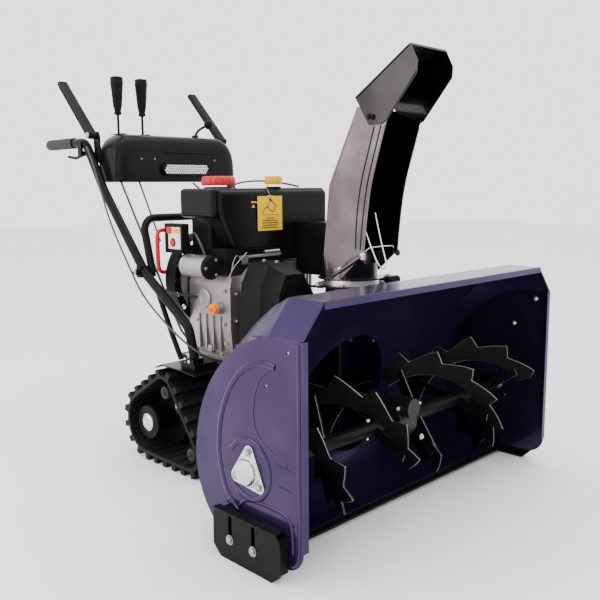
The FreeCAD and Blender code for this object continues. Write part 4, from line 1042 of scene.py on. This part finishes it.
ribbed_cap("red_screw_cap", "fuel_cap", "red_cap", (-0.095, 0.025), 0.0515, 0.8368, 0.8642, 18, red)
ribbed_cap("yellow_screw_cap", "oil_cap", "yellow_cap", (0.075, -0.036), 0.0278, 0.8386, 0.8642, 12,
           yellow)
print("two screw caps made")

# %% [markdown]
# ## Belt cover
# The belt cover is an open-backed shell, narrowed towards its front face. One outline is repeated at
# four depths, the last two of them drawn in, and a modifier gives the shell its wall.
# %% Belt cover
cover_low, cover_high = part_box("belt_cover")
COVER = [(-0.070, 0.150), (0.070, 0.150), (0.118, 0.200), (0.118, 0.400), (-0.042, 0.618),
         (-0.118, 0.618), (-0.152, 0.560), (-0.166, 0.420), (-0.150, 0.230)]
heart = (sum(p[0] for p in COVER) / len(COVER), sum(p[1] for p in COVER) / len(COVER))
cover_mesh = bmesh.new()
cover_rings = []
for shrink, y in ((0.0, cover_high.y), (0.0, -0.226), (0.012, -0.236), (0.030, cover_low.y)):
    ring = []
    for a, b in COVER:
        length = math.dist((a, b), heart)
        kept = (length - shrink) / length
        ring.append(cover_mesh.verts.new((heart[0] + (a - heart[0]) * kept, y,
                                          heart[1] + (b - heart[1]) * kept)))
    cover_rings.append(ring)
for here, there in zip(cover_rings, cover_rings[1:]):
    for step in range(len(COVER)):
        after = (step + 1) % len(COVER)
        cover_mesh.faces.new((here[step], here[after], there[after], there[step]))
cover_mesh.faces.new(cover_rings[-1])
cover = own("belt_cover_shell", cover_mesh, black_plastic)
thickness = cover.modifiers.new("wall", "SOLIDIFY")
thickness.thickness = 0.0028
thickness.offset = -1
soften(cover, 0.004, 3)
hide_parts("belt_cover")
cover_screws = bmesh.new()
for x, z in ((-0.118, 0.440), (0.040, 0.440)):
    add_bolt(cover_screws, (x, cover_low.y, z), "-y", 0.0048, 0.0035)
for y in (-0.160, -0.214):
    add_bolt(cover_screws, (-0.080, y, 0.618), "z", 0.0052, 0.004)
own("belt_cover_screws", cover_screws, bolt_zinc)
for step in range(3):
    rib_x, rib_y = 0.0008 * step, -0.150 - 0.030 * step
    bar("belt_cover_rib_%d" % step, [(rib_x - 0.1605, rib_y, 0.430), (rib_x - 0.1575, rib_y, 0.490),
                                     (rib_x - 0.1525, rib_y, 0.548)], 0.0016, black_plastic)
print("belt cover between Y =", round(cover_low.y, 3), "and", round(cover_high.y, 3))

# %% [markdown]
# ## Starter motor
# The electric starter is a turned drum with a dark end cap, three small bolts and a foot against the
# engine. A lathe shape gives its rolled end lips in a few points.
# %% Starter motor
START = (-0.190, 0.600)
START_FACE = -0.048
starter = add_turned(bmesh.new(), [(0, 0), (0.0325, 0), (0.0350, 0.0025), (0.0350, 0.010),
                                   (0.0340, 0.0115), (0.0340, 0.098), (0.0350, 0.0995),
                                   (0.0350, 0.107), (0.0325, 0.110), (0, 0.110)],
                     (START[0], START_FACE, START[1]), "y", 64)
add_slab(starter, oblong(-0.030, 0.040, 0.572, 0.594), "x", -0.166, -0.1505)
starter_body = own("starter_body", starter, cast_alloy, width=0.0006)
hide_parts("starter_motor")
dark_cap = add_turned(bmesh.new(), [(0, 0.0155), (0.008, 0.0155), (0.009, 0.012), (0.030, 0.0105),
                                    (0.0352, 0.0065), (0.0358, 0.0), (0, 0)],
                      (START[0], START_FACE, START[1]), "-y", 64)
own("starter_end_cap", dark_cap, satin_black)
small_bolts = bmesh.new()
for degrees in (60, 180, 300):
    x, z = on_circle(START, 0.025, degrees)
    add_bolt(small_bolts, (x, START_FACE - 0.0105, z), "-y", 0.0038, 0.003)
print("starter motor at X =", START[0])

# %% [markdown]
# ## Crankcase bolts and ribs
# The casting is bolted round its front and side faces, and stiffened by upright ribs, a round boss and a
# hex plug. The side face leans outwards over its lowest stretch, so the bolts' X follows their height.
# %% Crankcase bolts and ribs
CASE_LEAN = 0.008
for x, z in ((-0.135, 0.365), (-0.135, 0.440), (-0.135, 0.520), (-0.020, 0.350), (0.060, 0.365),
             (0.085, 0.450)):
    add_bolt(small_bolts, (x, -0.0972, z), "-y", 0.0055, 0.005)
for y, z in ((-0.070, 0.372), (-0.070, 0.430), (0.060, 0.372), (0.060, 0.430), (0.070, 0.500),
             (-0.075, 0.530)):
    outward = CASE_LEAN * min(1, max(0, (z - 0.36) / 0.06))
    add_bolt(small_bolts, (-0.1502 - outward, y, z), "-x", 0.0055, 0.005)
own("engine_bolts", small_bolts, bolt_zinc)
casting = bmesh.new()
for y in (-0.052, -0.018, 0.016, 0.050):
    add_slab(casting, oblong(y - 0.0022, y + 0.0022, 0.345, 0.452), "x", -0.1625, -0.1500)
add_turned(casting, [(0.030, 0), (0.030, 0.006), (0.026, 0.0075), (0.016, 0.0075), (0.014, 0.005),
                     (0, 0.005)], (-0.158, 0.022, 0.500), "-x", 40)
add_turned(casting, [(0.014, 0), (0.014, 0.009), (0.011, 0.010), (0, 0.010)],
           (-0.150, 0.005, 0.346), "-x", 6)
own("case_ribs", casting, cast_alloy, width=0.0012)
print("crankcase bolts and ribs made")

# %% [markdown]
# ## Governor linkage
# Thin rods, a long spring and a folded bracket cross the front of the engine. The spring's turns are a
# short loop of sine and cosine, and the rods are bars with given points.
# %% Governor linkage
linkage = [("governor_rod", [(-0.166, -0.094, 0.560), (-0.150, -0.104, 0.600),
                             (-0.120, -0.108, 0.628), (-0.095, -0.100, 0.640)], 0.0022),
           ("throttle_rod", [(-0.176, -0.100, 0.538), (-0.160, -0.106, 0.580),
                             (-0.148, -0.104, 0.626), (-0.130, -0.098, 0.634)], 0.0018),
           ("choke_rod", [(-0.095, -0.106, 0.628), (-0.020, -0.110, 0.634), (0.040, -0.106, 0.630)],
            0.0020)]
for name, route, radius in linkage:
    bar(name, route, radius * 0.75, steel)
COIL_RADIUS, COIL_TURN = 0.004, 0.9
coil = [(-0.030 + 0.0006 * step, -0.110 + COIL_RADIUS * math.cos(step * COIL_TURN),
         0.640 + COIL_RADIUS * math.sin(step * COIL_TURN)) for step in range(96)]
bar("governor_spring", coil, 0.0009, zinc)
bracket = bmesh.new()
add_slab(bracket, oblong(-0.120, 0.044, 0.624, 0.632), "y", -0.098, -0.0955)
add_slab(bracket, [(-0.112, 0.606), (-0.092, 0.606), (-0.086, 0.632), (-0.118, 0.632)], "y",
         -0.1005, -0.098)
own("linkage_bracket", bracket, steel, width=0.0008)
print("linkage rods:", len(linkage))

# %% [markdown]
# ## Switch panel
# The starter's switch box has a cream panel with a red rocker, a yellow strip and a dark ring round the
# button. They are thin pieces on the outer face of the box, placed from the box's own corner.
# %% Switch panel
box_low, box_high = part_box("switch_box")
rounded_block("switch_panel", (box_low.x - 0.0016, box_low.y + 0.008, box_low.z + 0.012),
              (box_low.x + 0.002, box_high.y - 0.020, box_high.z - 0.010), cream, 0.0016)
button_ring = bmesh.new()
add_turned(button_ring, [(0.0128, 0), (0.0128, 0.0022), (0.0112, 0.0030), (0.0112, 0)],
           (box_low.x - 0.0016, 0.095, 0.668), "-x", 40)
own("button_ring", button_ring, satin_black)
slab("switch_strip", oblong(0.060, 0.092, 0.696, 0.712), "x", box_low.x - 0.0032,
     box_low.x - 0.0014, yellow, width=0.0006)
slab("switch_rocker", oblong(0.100, 0.124, 0.694, 0.714), "x", box_low.x - 0.0052,
     box_low.x - 0.0014, red, width=0.0016)
print("switch panel on the face at X =", round(box_low.x, 3))

# %% [markdown]
# ## Pull grip and blower fins
# The pull is a rounded red loop with rings round its grip, and rides on its own body. The blower's
# intake at the back is two circles of thin radial fins, each made of blocks set round a centre.
# %% Pull grip and blower fins
RING_PITCH = 0.0095
pull = bar("pull_grip", [(-0.170, 0.157, 0.690), (-0.192, 0.157, 0.7015), (-0.2295, 0.157, 0.7035),
                         (-0.2315, 0.157, 0.670), (-0.2315, 0.157, 0.610), (-0.2275, 0.157, 0.5745),
                         (-0.196, 0.157, 0.5715), (-0.172, 0.157, 0.606), (-0.1675, 0.157, 0.650)],
           0.0062, red, "pull_handle", closed=True)
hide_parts("recoil_handle")
for step in range(9):
    z = 0.602 + RING_PITCH * step
    turned("pull_ring_%d" % step, [(0.006, -0.0028), (0.0074, -0.0015), (0.0074, 0.0015),
                                   (0.006, 0.0028)], (-0.2312, 0.157, z), red, "pull_handle",
           steps=24)
blower_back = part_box("blower_housing")[1].y - 0.0006
blower = bmesh.new()
for count, inner, outer, depth in ((28, 0.046, 0.080, blower_back), (40, 0.100, 0.140, 0.1502)):
    for step in range(count):
        angle = 2 * math.pi * step / count
        turn = Matrix.Translation((-0.060, depth, 0.545)) @ Matrix.Rotation(-angle, 4, "Y")
        add_block(blower, turn, ((inner + outer) / 2, 0, 0), (outer - inner, 0.0024, 0.0032))
own("blower_fins", blower, black_plastic, width=0.0006)
print("pull rings and blower fins made")

# %% [markdown]
# ## Console hood
# The console is one moulded hood with rounded ends, open underneath. It is a loft of one rounded
# section, shrunk towards each end along a superellipse. A box with a bevel would have round corners but
# not the even swell of the ends.
# %% Console hood
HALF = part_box("console")[1].x
MIDDLE_Y, HOOD_FOOT = 0.410, 0.850
END_ROUND = 0.075
SWELL = 2.4
STATIONS = 40
SECTION = [(0.352, 0.850), (0.352, 0.905), (0.3535, 0.960), (0.358, 0.982), (0.368, 0.996),
           (0.384, 1.003), (0.410, 1.005), (0.440, 1.005), (0.456, 1.001), (0.466, 0.991),
           (0.469, 0.976), (0.462, 0.940), (0.446, 0.895), (0.430, 0.850)]
console_mesh = bmesh.new()
console_rings = []
for step in range(STATIONS + 1):
    across = -1 + 2 * step / STATIONS
    x = HALF * math.sin(across * math.pi / 2)
    into = max(0.0, (abs(x) - (HALF - END_ROUND)) / END_ROUND)
    size = (1 - into ** SWELL) ** (1 / SWELL) if into < 1 else 0.0
    tall = 0.42 + 0.58 * size
    deep = 0.78 + 0.22 * size
    console_rings.append([console_mesh.verts.new((x, MIDDLE_Y + (y - MIDDLE_Y) * deep,
                                                  HOOD_FOOT + (z - HOOD_FOOT) * tall))
                          for y, z in SECTION])
for here, there in zip(console_rings, console_rings[1:]):
    for a, b, c, d in zip(here, here[1:], there[1:], there):
        console_mesh.faces.new((a, b, c, d))
console_mesh.faces.new(console_rings[0])
console_mesh.faces.new(list(reversed(console_rings[-1])))
hood = own("console_hood", console_mesh, shroud_black)
hood_wall = hood.modifiers.new("wall", "SOLIDIFY")
hood_wall.thickness = 0.003
hood_wall.offset = -1
print("console hood", round(2 * HALF, 3), "m wide")

# %% [markdown]
# ## Lever slots
# Two slots let the levers through. A boolean modifier cuts them, is applied at once, and the cutter is
# removed, so the hood that remains is one clean mesh.
# %% Lever slots
PIVOT_Y, PIVOT_Z = 0.425, 0.890
LEVERS = {"speed_lever": "lever_speed", "chute_lever": "lever_chute"}
slot_cutter = bmesh.new()
lever_x = {}
for node_name in LEVERS:
    low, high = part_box(node_name)
    lever_x[node_name] = (low.x + high.x) / 2
    add_block(slot_cutter, Matrix(), (lever_x[node_name], PIVOT_Y, 1.000), (0.014, 0.062, 0.04))
cutter = own("slot_cutter", slot_cutter, cast_black)
hood_cut = hood.modifiers.new("slots", "BOOLEAN")
hood_cut.object = cutter
hood_cut.operation = "DIFFERENCE"
hood_cut.solver = "EXACT"
bpy.context.view_layer.update()
finished = bpy.data.meshes.new_from_object(hood.evaluated_get(bpy.context.evaluated_depsgraph_get()))
hood.modifiers.clear()
hood.data = finished
finished.set_sharp_from_angle(angle=math.radians(32))
bpy.data.objects.remove(cutter)
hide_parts("console")
print("slots at X =", [round(x, 3) for x in lever_x.values()])

# %% [markdown]
# ## Lever pivot and gates
# A rod across the hood carries both levers on two ribs, and a thin raised frame edges each slot.
# %% Lever pivot and gates
pivot_rod = bmesh.new()
for x in (-0.222, -0.066):
    add_slab(pivot_rod, oblong(0.400, 0.440, 0.853, 0.900), "x", x, x + 0.006)
add_turned(pivot_rod, [(0, 0), (0.005, 0), (0.005, 0.156), (0, 0.156)], (-0.218, PIVOT_Y, PIVOT_Z),
           "x", 24)
own("console_pivot", pivot_rod, satin_black)
for node_name in LEVERS:
    x = lever_x[node_name]
    gate = bmesh.new()
    for a, b, c, d in ((-0.011, -0.007, -0.035, 0.035), (0.007, 0.011, -0.035, 0.035),
                       (-0.011, 0.011, -0.035, -0.031), (-0.011, 0.011, 0.031, 0.035)):
        add_slab(gate, oblong(x + a, x + b, PIVOT_Y + c, PIVOT_Y + d), "z", 1.0045, 1.0065)
    own(node_name + "_gate", gate, satin_black)
print("pivot rod and gates made")

# %% [markdown]
# ## Shift levers
# Each lever is a thin stem with a long flared knob, turned in one piece. Ten slanted blocks round the
# knob make its flutes, and a short cross tube is the hub on the pivot rod.
# %% Shift levers
FLUTES = 10
FLUTE_LOW, FLUTE_HIGH = 1.092, 1.160
for node_name, x in lever_x.items():
    lever = add_turned(bmesh.new(), [(0, 0), (0.004, 0), (0.004, 0.176), (0.0095, 0.177),
                                     (0.0118, 0.181), (0.0118, 0.186), (0.0100, 0.188),
                                     (0.0120, 0.195), (0.0165, 0.240), (0.0200, 0.272),
                                     (0.0212, 0.282), (0.0200, 0.284), (0.0205, 0.292),
                                     (0.0190, 0.2965), (0.0140, 0.298), (0, 0.298)],
                       (x, PIVOT_Y, PIVOT_Z), "z", 48)
    add_turned(lever, [(0, 0), (0.011, 0), (0.011, 0.018), (0, 0.018)], (x - 0.009, PIVOT_Y, PIVOT_Z),
               "x", 32)
    for flute in range(FLUTES):
        angle = 2 * math.pi * flute / FLUTES
        turn = Matrix.Translation((x, PIVOT_Y, 0)) @ Matrix.Rotation(angle, 4, "Z")
        for vertex in bmesh.ops.create_cube(lever, size=1)["verts"]:
            out = 0.0128 if vertex.co.z < 0 else 0.0186
            vertex.co = turn @ Vector((out + vertex.co.x * 0.0022, vertex.co.y * 0.0030,
                                       FLUTE_LOW if vertex.co.z < 0 else FLUTE_HIGH))
    knob = own(node_name + "_knob", lever, black_plastic, LEVERS[node_name], width=0.0006)
    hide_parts(node_name)
print("levers:", list(LEVERS))

# %% [markdown]
# ## Lamp
# The lamp's window shows rows of small six-sided cells inside a dark bezel. They are turned cups on a
# honeycomb grid, and those outside the window's rounded ends are left out. The CAD lens stays behind
# them, painted dark, so that the cells stand out.
# %% Lamp
lamp_low, lamp_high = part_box("headlight_lens")
cells = bmesh.new()
PITCH = 0.0088
LAMP_Z, HALF_TALL = 0.893, 0.018
row = 0
z = lamp_low.z + 0.006
while z < lamp_high.z - 0.003:
    x = lamp_low.x + 0.004 + (PITCH / 2 if row % 2 else 0)
    while x < lamp_high.x - 0.003:
        end_in = max(lamp_low.x + HALF_TALL - x, x - (lamp_high.x - HALF_TALL), 0)
        if end_in ** 2 + (z - LAMP_Z) ** 2 < (HALF_TALL - 0.004) ** 2:
            add_turned(cells, [(0.0040, 0), (0.0036, 0.0012), (0.0020, 0.0008), (0.0014, 0.0016),
                               (0, 0.0018)], (x, lamp_low.y + 0.0002, z), "-y", 6)
        x += PITCH
    z += PITCH * 0.86
    row += 1
own("lamp_cells", cells, lens)
paint("headlight_lens", cast_black)
bezel = [(x, lamp_low.y - 0.0006, z) for x, z in
         arc((lamp_high.x - HALF_TALL, LAMP_Z), 0.0195, -90, 90, 8)
         + arc((lamp_low.x + HALF_TALL, LAMP_Z), 0.0195, 90, 270, 8)]
bar("lamp_bezel", bezel, 0.0022, satin_black, closed=True)
print("lamp cells in", row, "rows")

# %% [markdown]
# ## Console details
# A groove and three screws sit on the hood's front, and a ball-ended arm stands on its left half, on a
# round collar. The ball is turned from points on a half circle.
# %% Console details
bar("console_groove", [(-0.060, 0.3522, 0.948), (0.040, 0.3520, 0.948), (0.150, 0.3522, 0.948)],
    0.0030, black_plastic)
console_screws = bmesh.new()
for x in (-0.150, -0.100, 0.150):
    add_bolt(console_screws, (x, 0.3530, 0.925), "-y", 0.0032, 0.0022, washer=False)
own("console_screws", console_screws, steel)
crank_foot = Vector((0.105, 0.400, 1.006))
crank_ball = Vector((0.165, 0.400, 1.052))
bar("chute_crank_arm", [crank_foot, crank_foot + Vector((0.004, 0, 0.016)),
                        crank_foot + Vector((0.030, 0, 0.034)), crank_ball], 0.0045, satin_black)
turned("chute_crank_ball", [(0, -0.017), (0.0085, -0.0147), (0.0147, -0.0085), (0.017, 0),
                            (0.0147, 0.0085), (0.0085, 0.0147), (0, 0.017)], crank_ball,
       black_plastic, steps=32)
turned("chute_crank_collar", [(0, -0.001), (0.013, -0.001), (0.013, 0.003), (0.008, 0.007),
                              (0, 0.007)], crank_foot, satin_black, steps=32)
print("groove, screws and ball arm made")

# %% [markdown]
# ## Grips
# The grips are ribbed rubber sleeves with a rounded end. A loop adds the same small rib to the turned
# profile again and again, so the ribs are real shape and show at the outline.
# %% Grips
HANDLE_X = 0.266
GRIP_Z = 0.980
RIB_PITCH = 0.0066
RIBS_START, RIBS_END = 0.584, 0.726
grips = bmesh.new()
for side in (-1, 1):
    profile = [(0.0142, 0.575), (0.0180, 0.575), (0.0180, 0.581)]
    y = RIBS_START
    while y < RIBS_END:
        profile += [(0.0172, y), (0.0180, y + 0.0012), (0.0180, y + 0.0042), (0.0172, y + 0.0054)]
        y += RIB_PITCH
    profile += [(0.0180, 0.729), (0.0180, 0.744), (0.0160, 0.7492), (0, 0.7499)]
    add_turned(grips, profile, (side * HANDLE_X, 0, GRIP_Z), "y", 40)
grip_piece = own("ribbed_grips", grips, grip_rubber)
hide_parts("grips")
print("ribbed grips at X = +-", HANDLE_X)

# %% [markdown]
# ## Squeeze levers
# Each squeeze lever has a fine ridge along its edge and a ribbed rubber pad on its upper face. They ride
# on the lever, while the pivot's bolt stays with the handle.
# %% Squeeze levers
PAD_RIBS = 9
for side_name, side in SIDES:
    body_name = "paddle_" + side_name
    x = side * 0.268
    along = [(0.520, 1.0572), (0.580, 1.1172), (0.632, 1.1700)]
    bar("lever_ridge_" + side_name, [(side * 0.2805, y, z - 0.004) for y, z in along], 0.0020,
        black_plastic, body_name)
    pad = bmesh.new()
    start, stop = Vector((0, 0.5265, 1.0665)), Vector((0, 0.622, 1.1665))
    way = (stop - start).normalized()
    up = Vector((0, -way.z, way.y))
    for index in range(PAD_RIBS):
        spot = start + (stop - start) * index / (PAD_RIBS - 1) + up * 0.0035
        for vertex in bmesh.ops.create_cube(pad, size=1)["verts"]:
            vertex.co = (Vector((x + vertex.co.x * 0.022, 0, 0)) + spot + way * vertex.co.y * 0.0065
                         + up * vertex.co.z * 0.0035)
    own("lever_pad_" + side_name, pad, grip_rubber, body_name, width=0.0010)
    pivot = bmesh.new()
    add_bolt(pivot, (side * 0.284, 0.455, 1.000), OUTWARD[side], 0.0066, 0.0045)
    own("lever_pivot_bolt_" + side_name, pivot, zinc)
print("squeeze levers have", PAD_RIBS, "pad ribs each")

# %% [markdown]
# ## Held cables and rods
# Every cable here is fixed at both ends, so it is part of the machine and not a loose cord. They run
# close to their CAD pieces, with a few more points, so that they bend like a stiff wire and not like a
# folded tube. The starter lead takes a wider loop further forward, and the chute's rod has no CAD piece
# of its own. Two small collars sit on the long cable.
# %% Held cables and rods
ROUTES = {
    "clutch_cable": ([(-0.284, 0.462, 0.962), (-0.300, 0.415, 0.935), (-0.306, 0.375, 0.880),
                      (-0.306, 0.300, 0.720), (-0.305, 0.215, 0.608), (-0.304, 0.140, 0.512),
                      (-0.300, 0.030, 0.440), (-0.292, -0.055, 0.392), (-0.250, -0.104, 0.346),
                      (-0.190, -0.106, 0.328)], 0.0030),
    "speed_rod": ([(-0.222, 0.366, 0.852), (-0.222, 0.214, 0.626), (-0.222, 0.070, 0.411),
                   (-0.216, 0.045, 0.384), (-0.192, 0.000, 0.330)], 0.0036),
    "chute_rod": ([(-0.150, 0.372, 0.852), (-0.150, 0.300, 0.730), (-0.150, 0.262, 0.660)], 0.0030),
    "engine_lead": ([(-0.240, 0.166, 0.548), (-0.238, 0.140, 0.528), (-0.222, 0.104, 0.513),
                     (-0.196, 0.078, 0.507), (-0.160, 0.060, 0.500)], 0.0045),
    "starter_lead": ([(-0.192, 0.030, 0.694), (-0.205, 0.006, 0.702), (-0.214, -0.022, 0.690),
                      (-0.213, -0.040, 0.662), (-0.204, -0.044, 0.636)], 0.0034),
    "lamp_lead": ([(0.060, 0.360, 0.846), (0.054, 0.300, 0.815), (0.045, 0.235, 0.800),
                   (0.050, 0.180, 0.822), (0.075, 0.115, 0.851), (0.120, 0.000, 0.850),
                   (0.200, -0.020, 0.832)], 0.0030),
}
for name, (route, radius) in ROUTES.items():
    cable = bar(name, route, radius, sheath)
    if name == "clutch_cable":
        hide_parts("control_cables")
collars = bmesh.new()
for x, y, z in ((-0.306, 0.300, 0.720), (-0.304, 0.140, 0.512)):
    add_turned(collars, [(0.0034, -0.003), (0.0046, -0.0022), (0.0046, 0.0022), (0.0034, 0.003)],
               (x, y, z), "z", 20)
own("cable_ferrules", collars, zinc)
print("held cables and rods:", list(ROUTES))

# %% [markdown]
# ## Handle clamp bolts
# One bolt a side clamps the cross hoop to the handle, and one holds the handle's foot.
# %% Handle clamp bolts
clamps = bmesh.new()
for side, way in OUTWARD.items():
    add_bolt(clamps, (side * 0.2965, 0.188, 0.577), way, 0.0066, 0.004)
    add_turned(clamps, [(0, 0), (0.0052, 0), (0.0052, 0.0035), (0, 0.0045)],
               (side * 0.284, -0.062, 0.338), way, 6)
own("handle_clamp_bolts", clamps, zinc)
print("handle clamps bolted")

# %% [markdown]
# ## Hang tag
# A thin card on a wire, printed with a generic pictogram of a tilted can over a rule and dark bars. The
# print is thin raised ink, so that it stays where the card swings, and it needs no picture file.
# %% Hang tag
tag_low, tag_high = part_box("hang_tag")
ink_y = tag_low.y - 0.0001
middle_x = (tag_low.x + tag_high.x) / 2


def ink(name, points, radius=0.0011, closed=False):
    """A thin printed line on the card's face."""
    return bar(name, [(middle_x + a, ink_y, tag_high.z - b) for a, b in points], radius,
               cast_black, "tag", closed, squash=("y", 0.25))


BAR_PITCH = 0.0072
can = [(0.002, 0.014), (0.024, 0.030), (0.010, 0.050), (-0.012, 0.034)]
for number, (start, stop) in enumerate(zip(can, can[1:] + can[:1])):
    half_way = ((start[0] + stop[0]) / 2, (start[1] + stop[1]) / 2)
    ink("tag_can_%d" % number, [start, half_way, stop])
ink("tag_handle", [(0.002, 0.014), (0.004, 0.008), (0.010, 0.020)])
ink("tag_spout", [(-0.012, 0.034), (-0.022, 0.036), (-0.030, 0.054)])
ink("tag_rule", [(-0.034, 0.058), (0, 0.058), (0.034, 0.058)], 0.0006)
for number, half_width in enumerate((0.016, 0.032, 0.034, 0.030, 0.033)):
    down = 0.068 + BAR_PITCH * number
    ink("tag_bar_%d" % number, [(-half_width, down), (0, down), (half_width, down)], 0.0013)
bar("tag_wire", [(middle_x, -0.0789, 0.8035), (middle_x - 0.001, -0.0775, 0.812),
                 (middle_x, -0.060, 0.8300), (middle_x + 0.030, -0.038, 0.8370)], 0.0009, steel)
print("tag at", [round(v, 3) for v in tag_low])

# %% [markdown]
# ## Skid shoes
# Each shoe slides on two bolts, so it has two upright slots, edged here by a thin rim, and a narrow lip
# folded out along its top, just above the bolts' reach. All of it drops with the shoe.
# %% Skid shoes
LIP_LOW = 0.1125
for side_name, side in SIDES:
    for y in SHOE_BOLTS_Y:
        loop = [(side * 0.5338, y + b, z) for b, z in
                arc((0, 0.048), 0.0120, 180, 360, 6) + arc((0, 0.097), 0.0120, 0, 180, 6)]
        bar("slot_rim_%s_%d" % (side_name, round(-y * 1000)), loop, 0.0016, satin_black,
            "skid_" + side_name, closed=True, squash=("x", 0.5))
    slab("shoe_lip_" + side_name, [(-0.694, LIP_LOW), (-0.490, LIP_LOW), (-0.486, LIP_LOW + 0.003),
                                   (-0.698, LIP_LOW + 0.003)], "x", side * 0.520, side * 0.5405,
         satin_black, "skid_" + side_name)
print("skid shoe slots and lips made")

# %% [markdown]
# ## Deck and fenders
# The deck's edge shows as a pale strip between two bolts, with a dark rail under it, and a thin folded
# fender covers the top of each track.
# %% Deck and fenders
DECK_HALF = 0.200
for side_name, side in SIDES:
    deck_x = side * DECK_HALF
    slab("deck_strip_" + side_name, oblong(-0.092, 0.066, 0.3238, 0.3290), "x", deck_x,
         deck_x + side * 0.003, zinc, width=0.0006)
    slab("deck_rail_" + side_name, oblong(-0.084, 0.060, 0.300, 0.3115), "x", deck_x - side * 0.020,
         deck_x, satin_black)
    fender = [(-0.112, 0.306), (-0.106, 0.3035), (-0.030, 0.3085), (0.060, 0.3085), (0.090, 0.2960),
              (0.094, 0.2975), (0.062, 0.3120), (-0.030, 0.3120), (-0.104, 0.3075)]
    slab("track_fender_" + side_name, fender, "x", side * 0.196, side * 0.302, satin_black)
deck_bolts = bmesh.new()
for side, way in OUTWARD.items():
    for y in (-0.080, 0.052):
        add_bolt(deck_bolts, (side * DECK_HALF, y, 0.3175), way, 0.0060, 0.0048)
own("deck_bolts", deck_bolts, bolt_zinc)
print("deck strips, rails and fenders made at X = +-", DECK_HALF)

# %% [markdown]
# ## Gearbox bolts
# Four bolts hold the front of the gearbox between the auger's halves. The case narrows upwards, so the
# upper pair stands further back.
# %% Gearbox bolts
case_bolts = bmesh.new()
for x in (-0.034, 0.034):
    for z in (0.176, 0.262):
        add_bolt(case_bolts, (x, -0.6440 if z < 0.2 else -0.6200, z), "-y", 0.0055, 0.005)
own("gearbox_bolts", case_bolts, zinc)
print("gearbox bolts made")

# %% [markdown]
# ## Softened CAD pieces
# The CAD pieces that stay in view get the same bevel as the new ones, wider on castings and rubber than
# on sheet metal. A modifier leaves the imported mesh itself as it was.
# %% Softened CAD pieces
SOFT = {"auger_housing": 0.0012, "side_plates": 0.0016, "skid_shoe_right": 0.0020,
        "skid_shoe_left": 0.0020, "chute_body": 0.0008, "deflector": 0.0010, "frame_box": 0.0018,
        "track_belts": 0.0030, "engine_crankcase": 0.0030, "gearbox_case": 0.0025,
        "clutch_lever_right": 0.0022, "clutch_lever_left": 0.0022, "blower_housing": 0.0020,
        "muffler_guard": 0.0010, "muffler": 0.0040, "switch_box": 0.0024, "chute_base": 0.0010,
        "headlight_housing": 0.0008, "track_frames": 0.0010, "scraper_bar": 0.0010,
        "rear_wheel_right": 0.0015, "rear_wheel_left": 0.0015, "handle_braces": 0.0010,
        "impeller": 0.0008, "dipstick": 0.0012, "recoil_handle": 0.0004}
for node_name, width in SOFT.items():
    soften(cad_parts[node_name], width)
print("softened", len(SOFT), "frame pieces")

# %% [markdown]
# ## Floor
# A large pale floor catches the machine's soft shadow. It is only a stage, and not part of the machine.
# %% Floor
FLOOR_HALF = 14
floor_mesh = bmesh.new()
bmesh.ops.create_grid(floor_mesh, x_segments=2, y_segments=2, size=FLOOR_HALF)
floor_data = bpy.data.meshes.new("floor")
floor_mesh.to_mesh(floor_data)
floor_mesh.free()
floor = bpy.data.objects.new("floor", floor_data)
floor.location.z = cad_low.z - 0.0005
floor_data.materials.append(finish("pale_floor", (0.86, 0.86, 0.86), 0.7, grain=0.02,
                                   uneven=0.03, tint=(0.88, 0.88, 0.88)))
bpy.context.scene.collection.objects.link(floor)
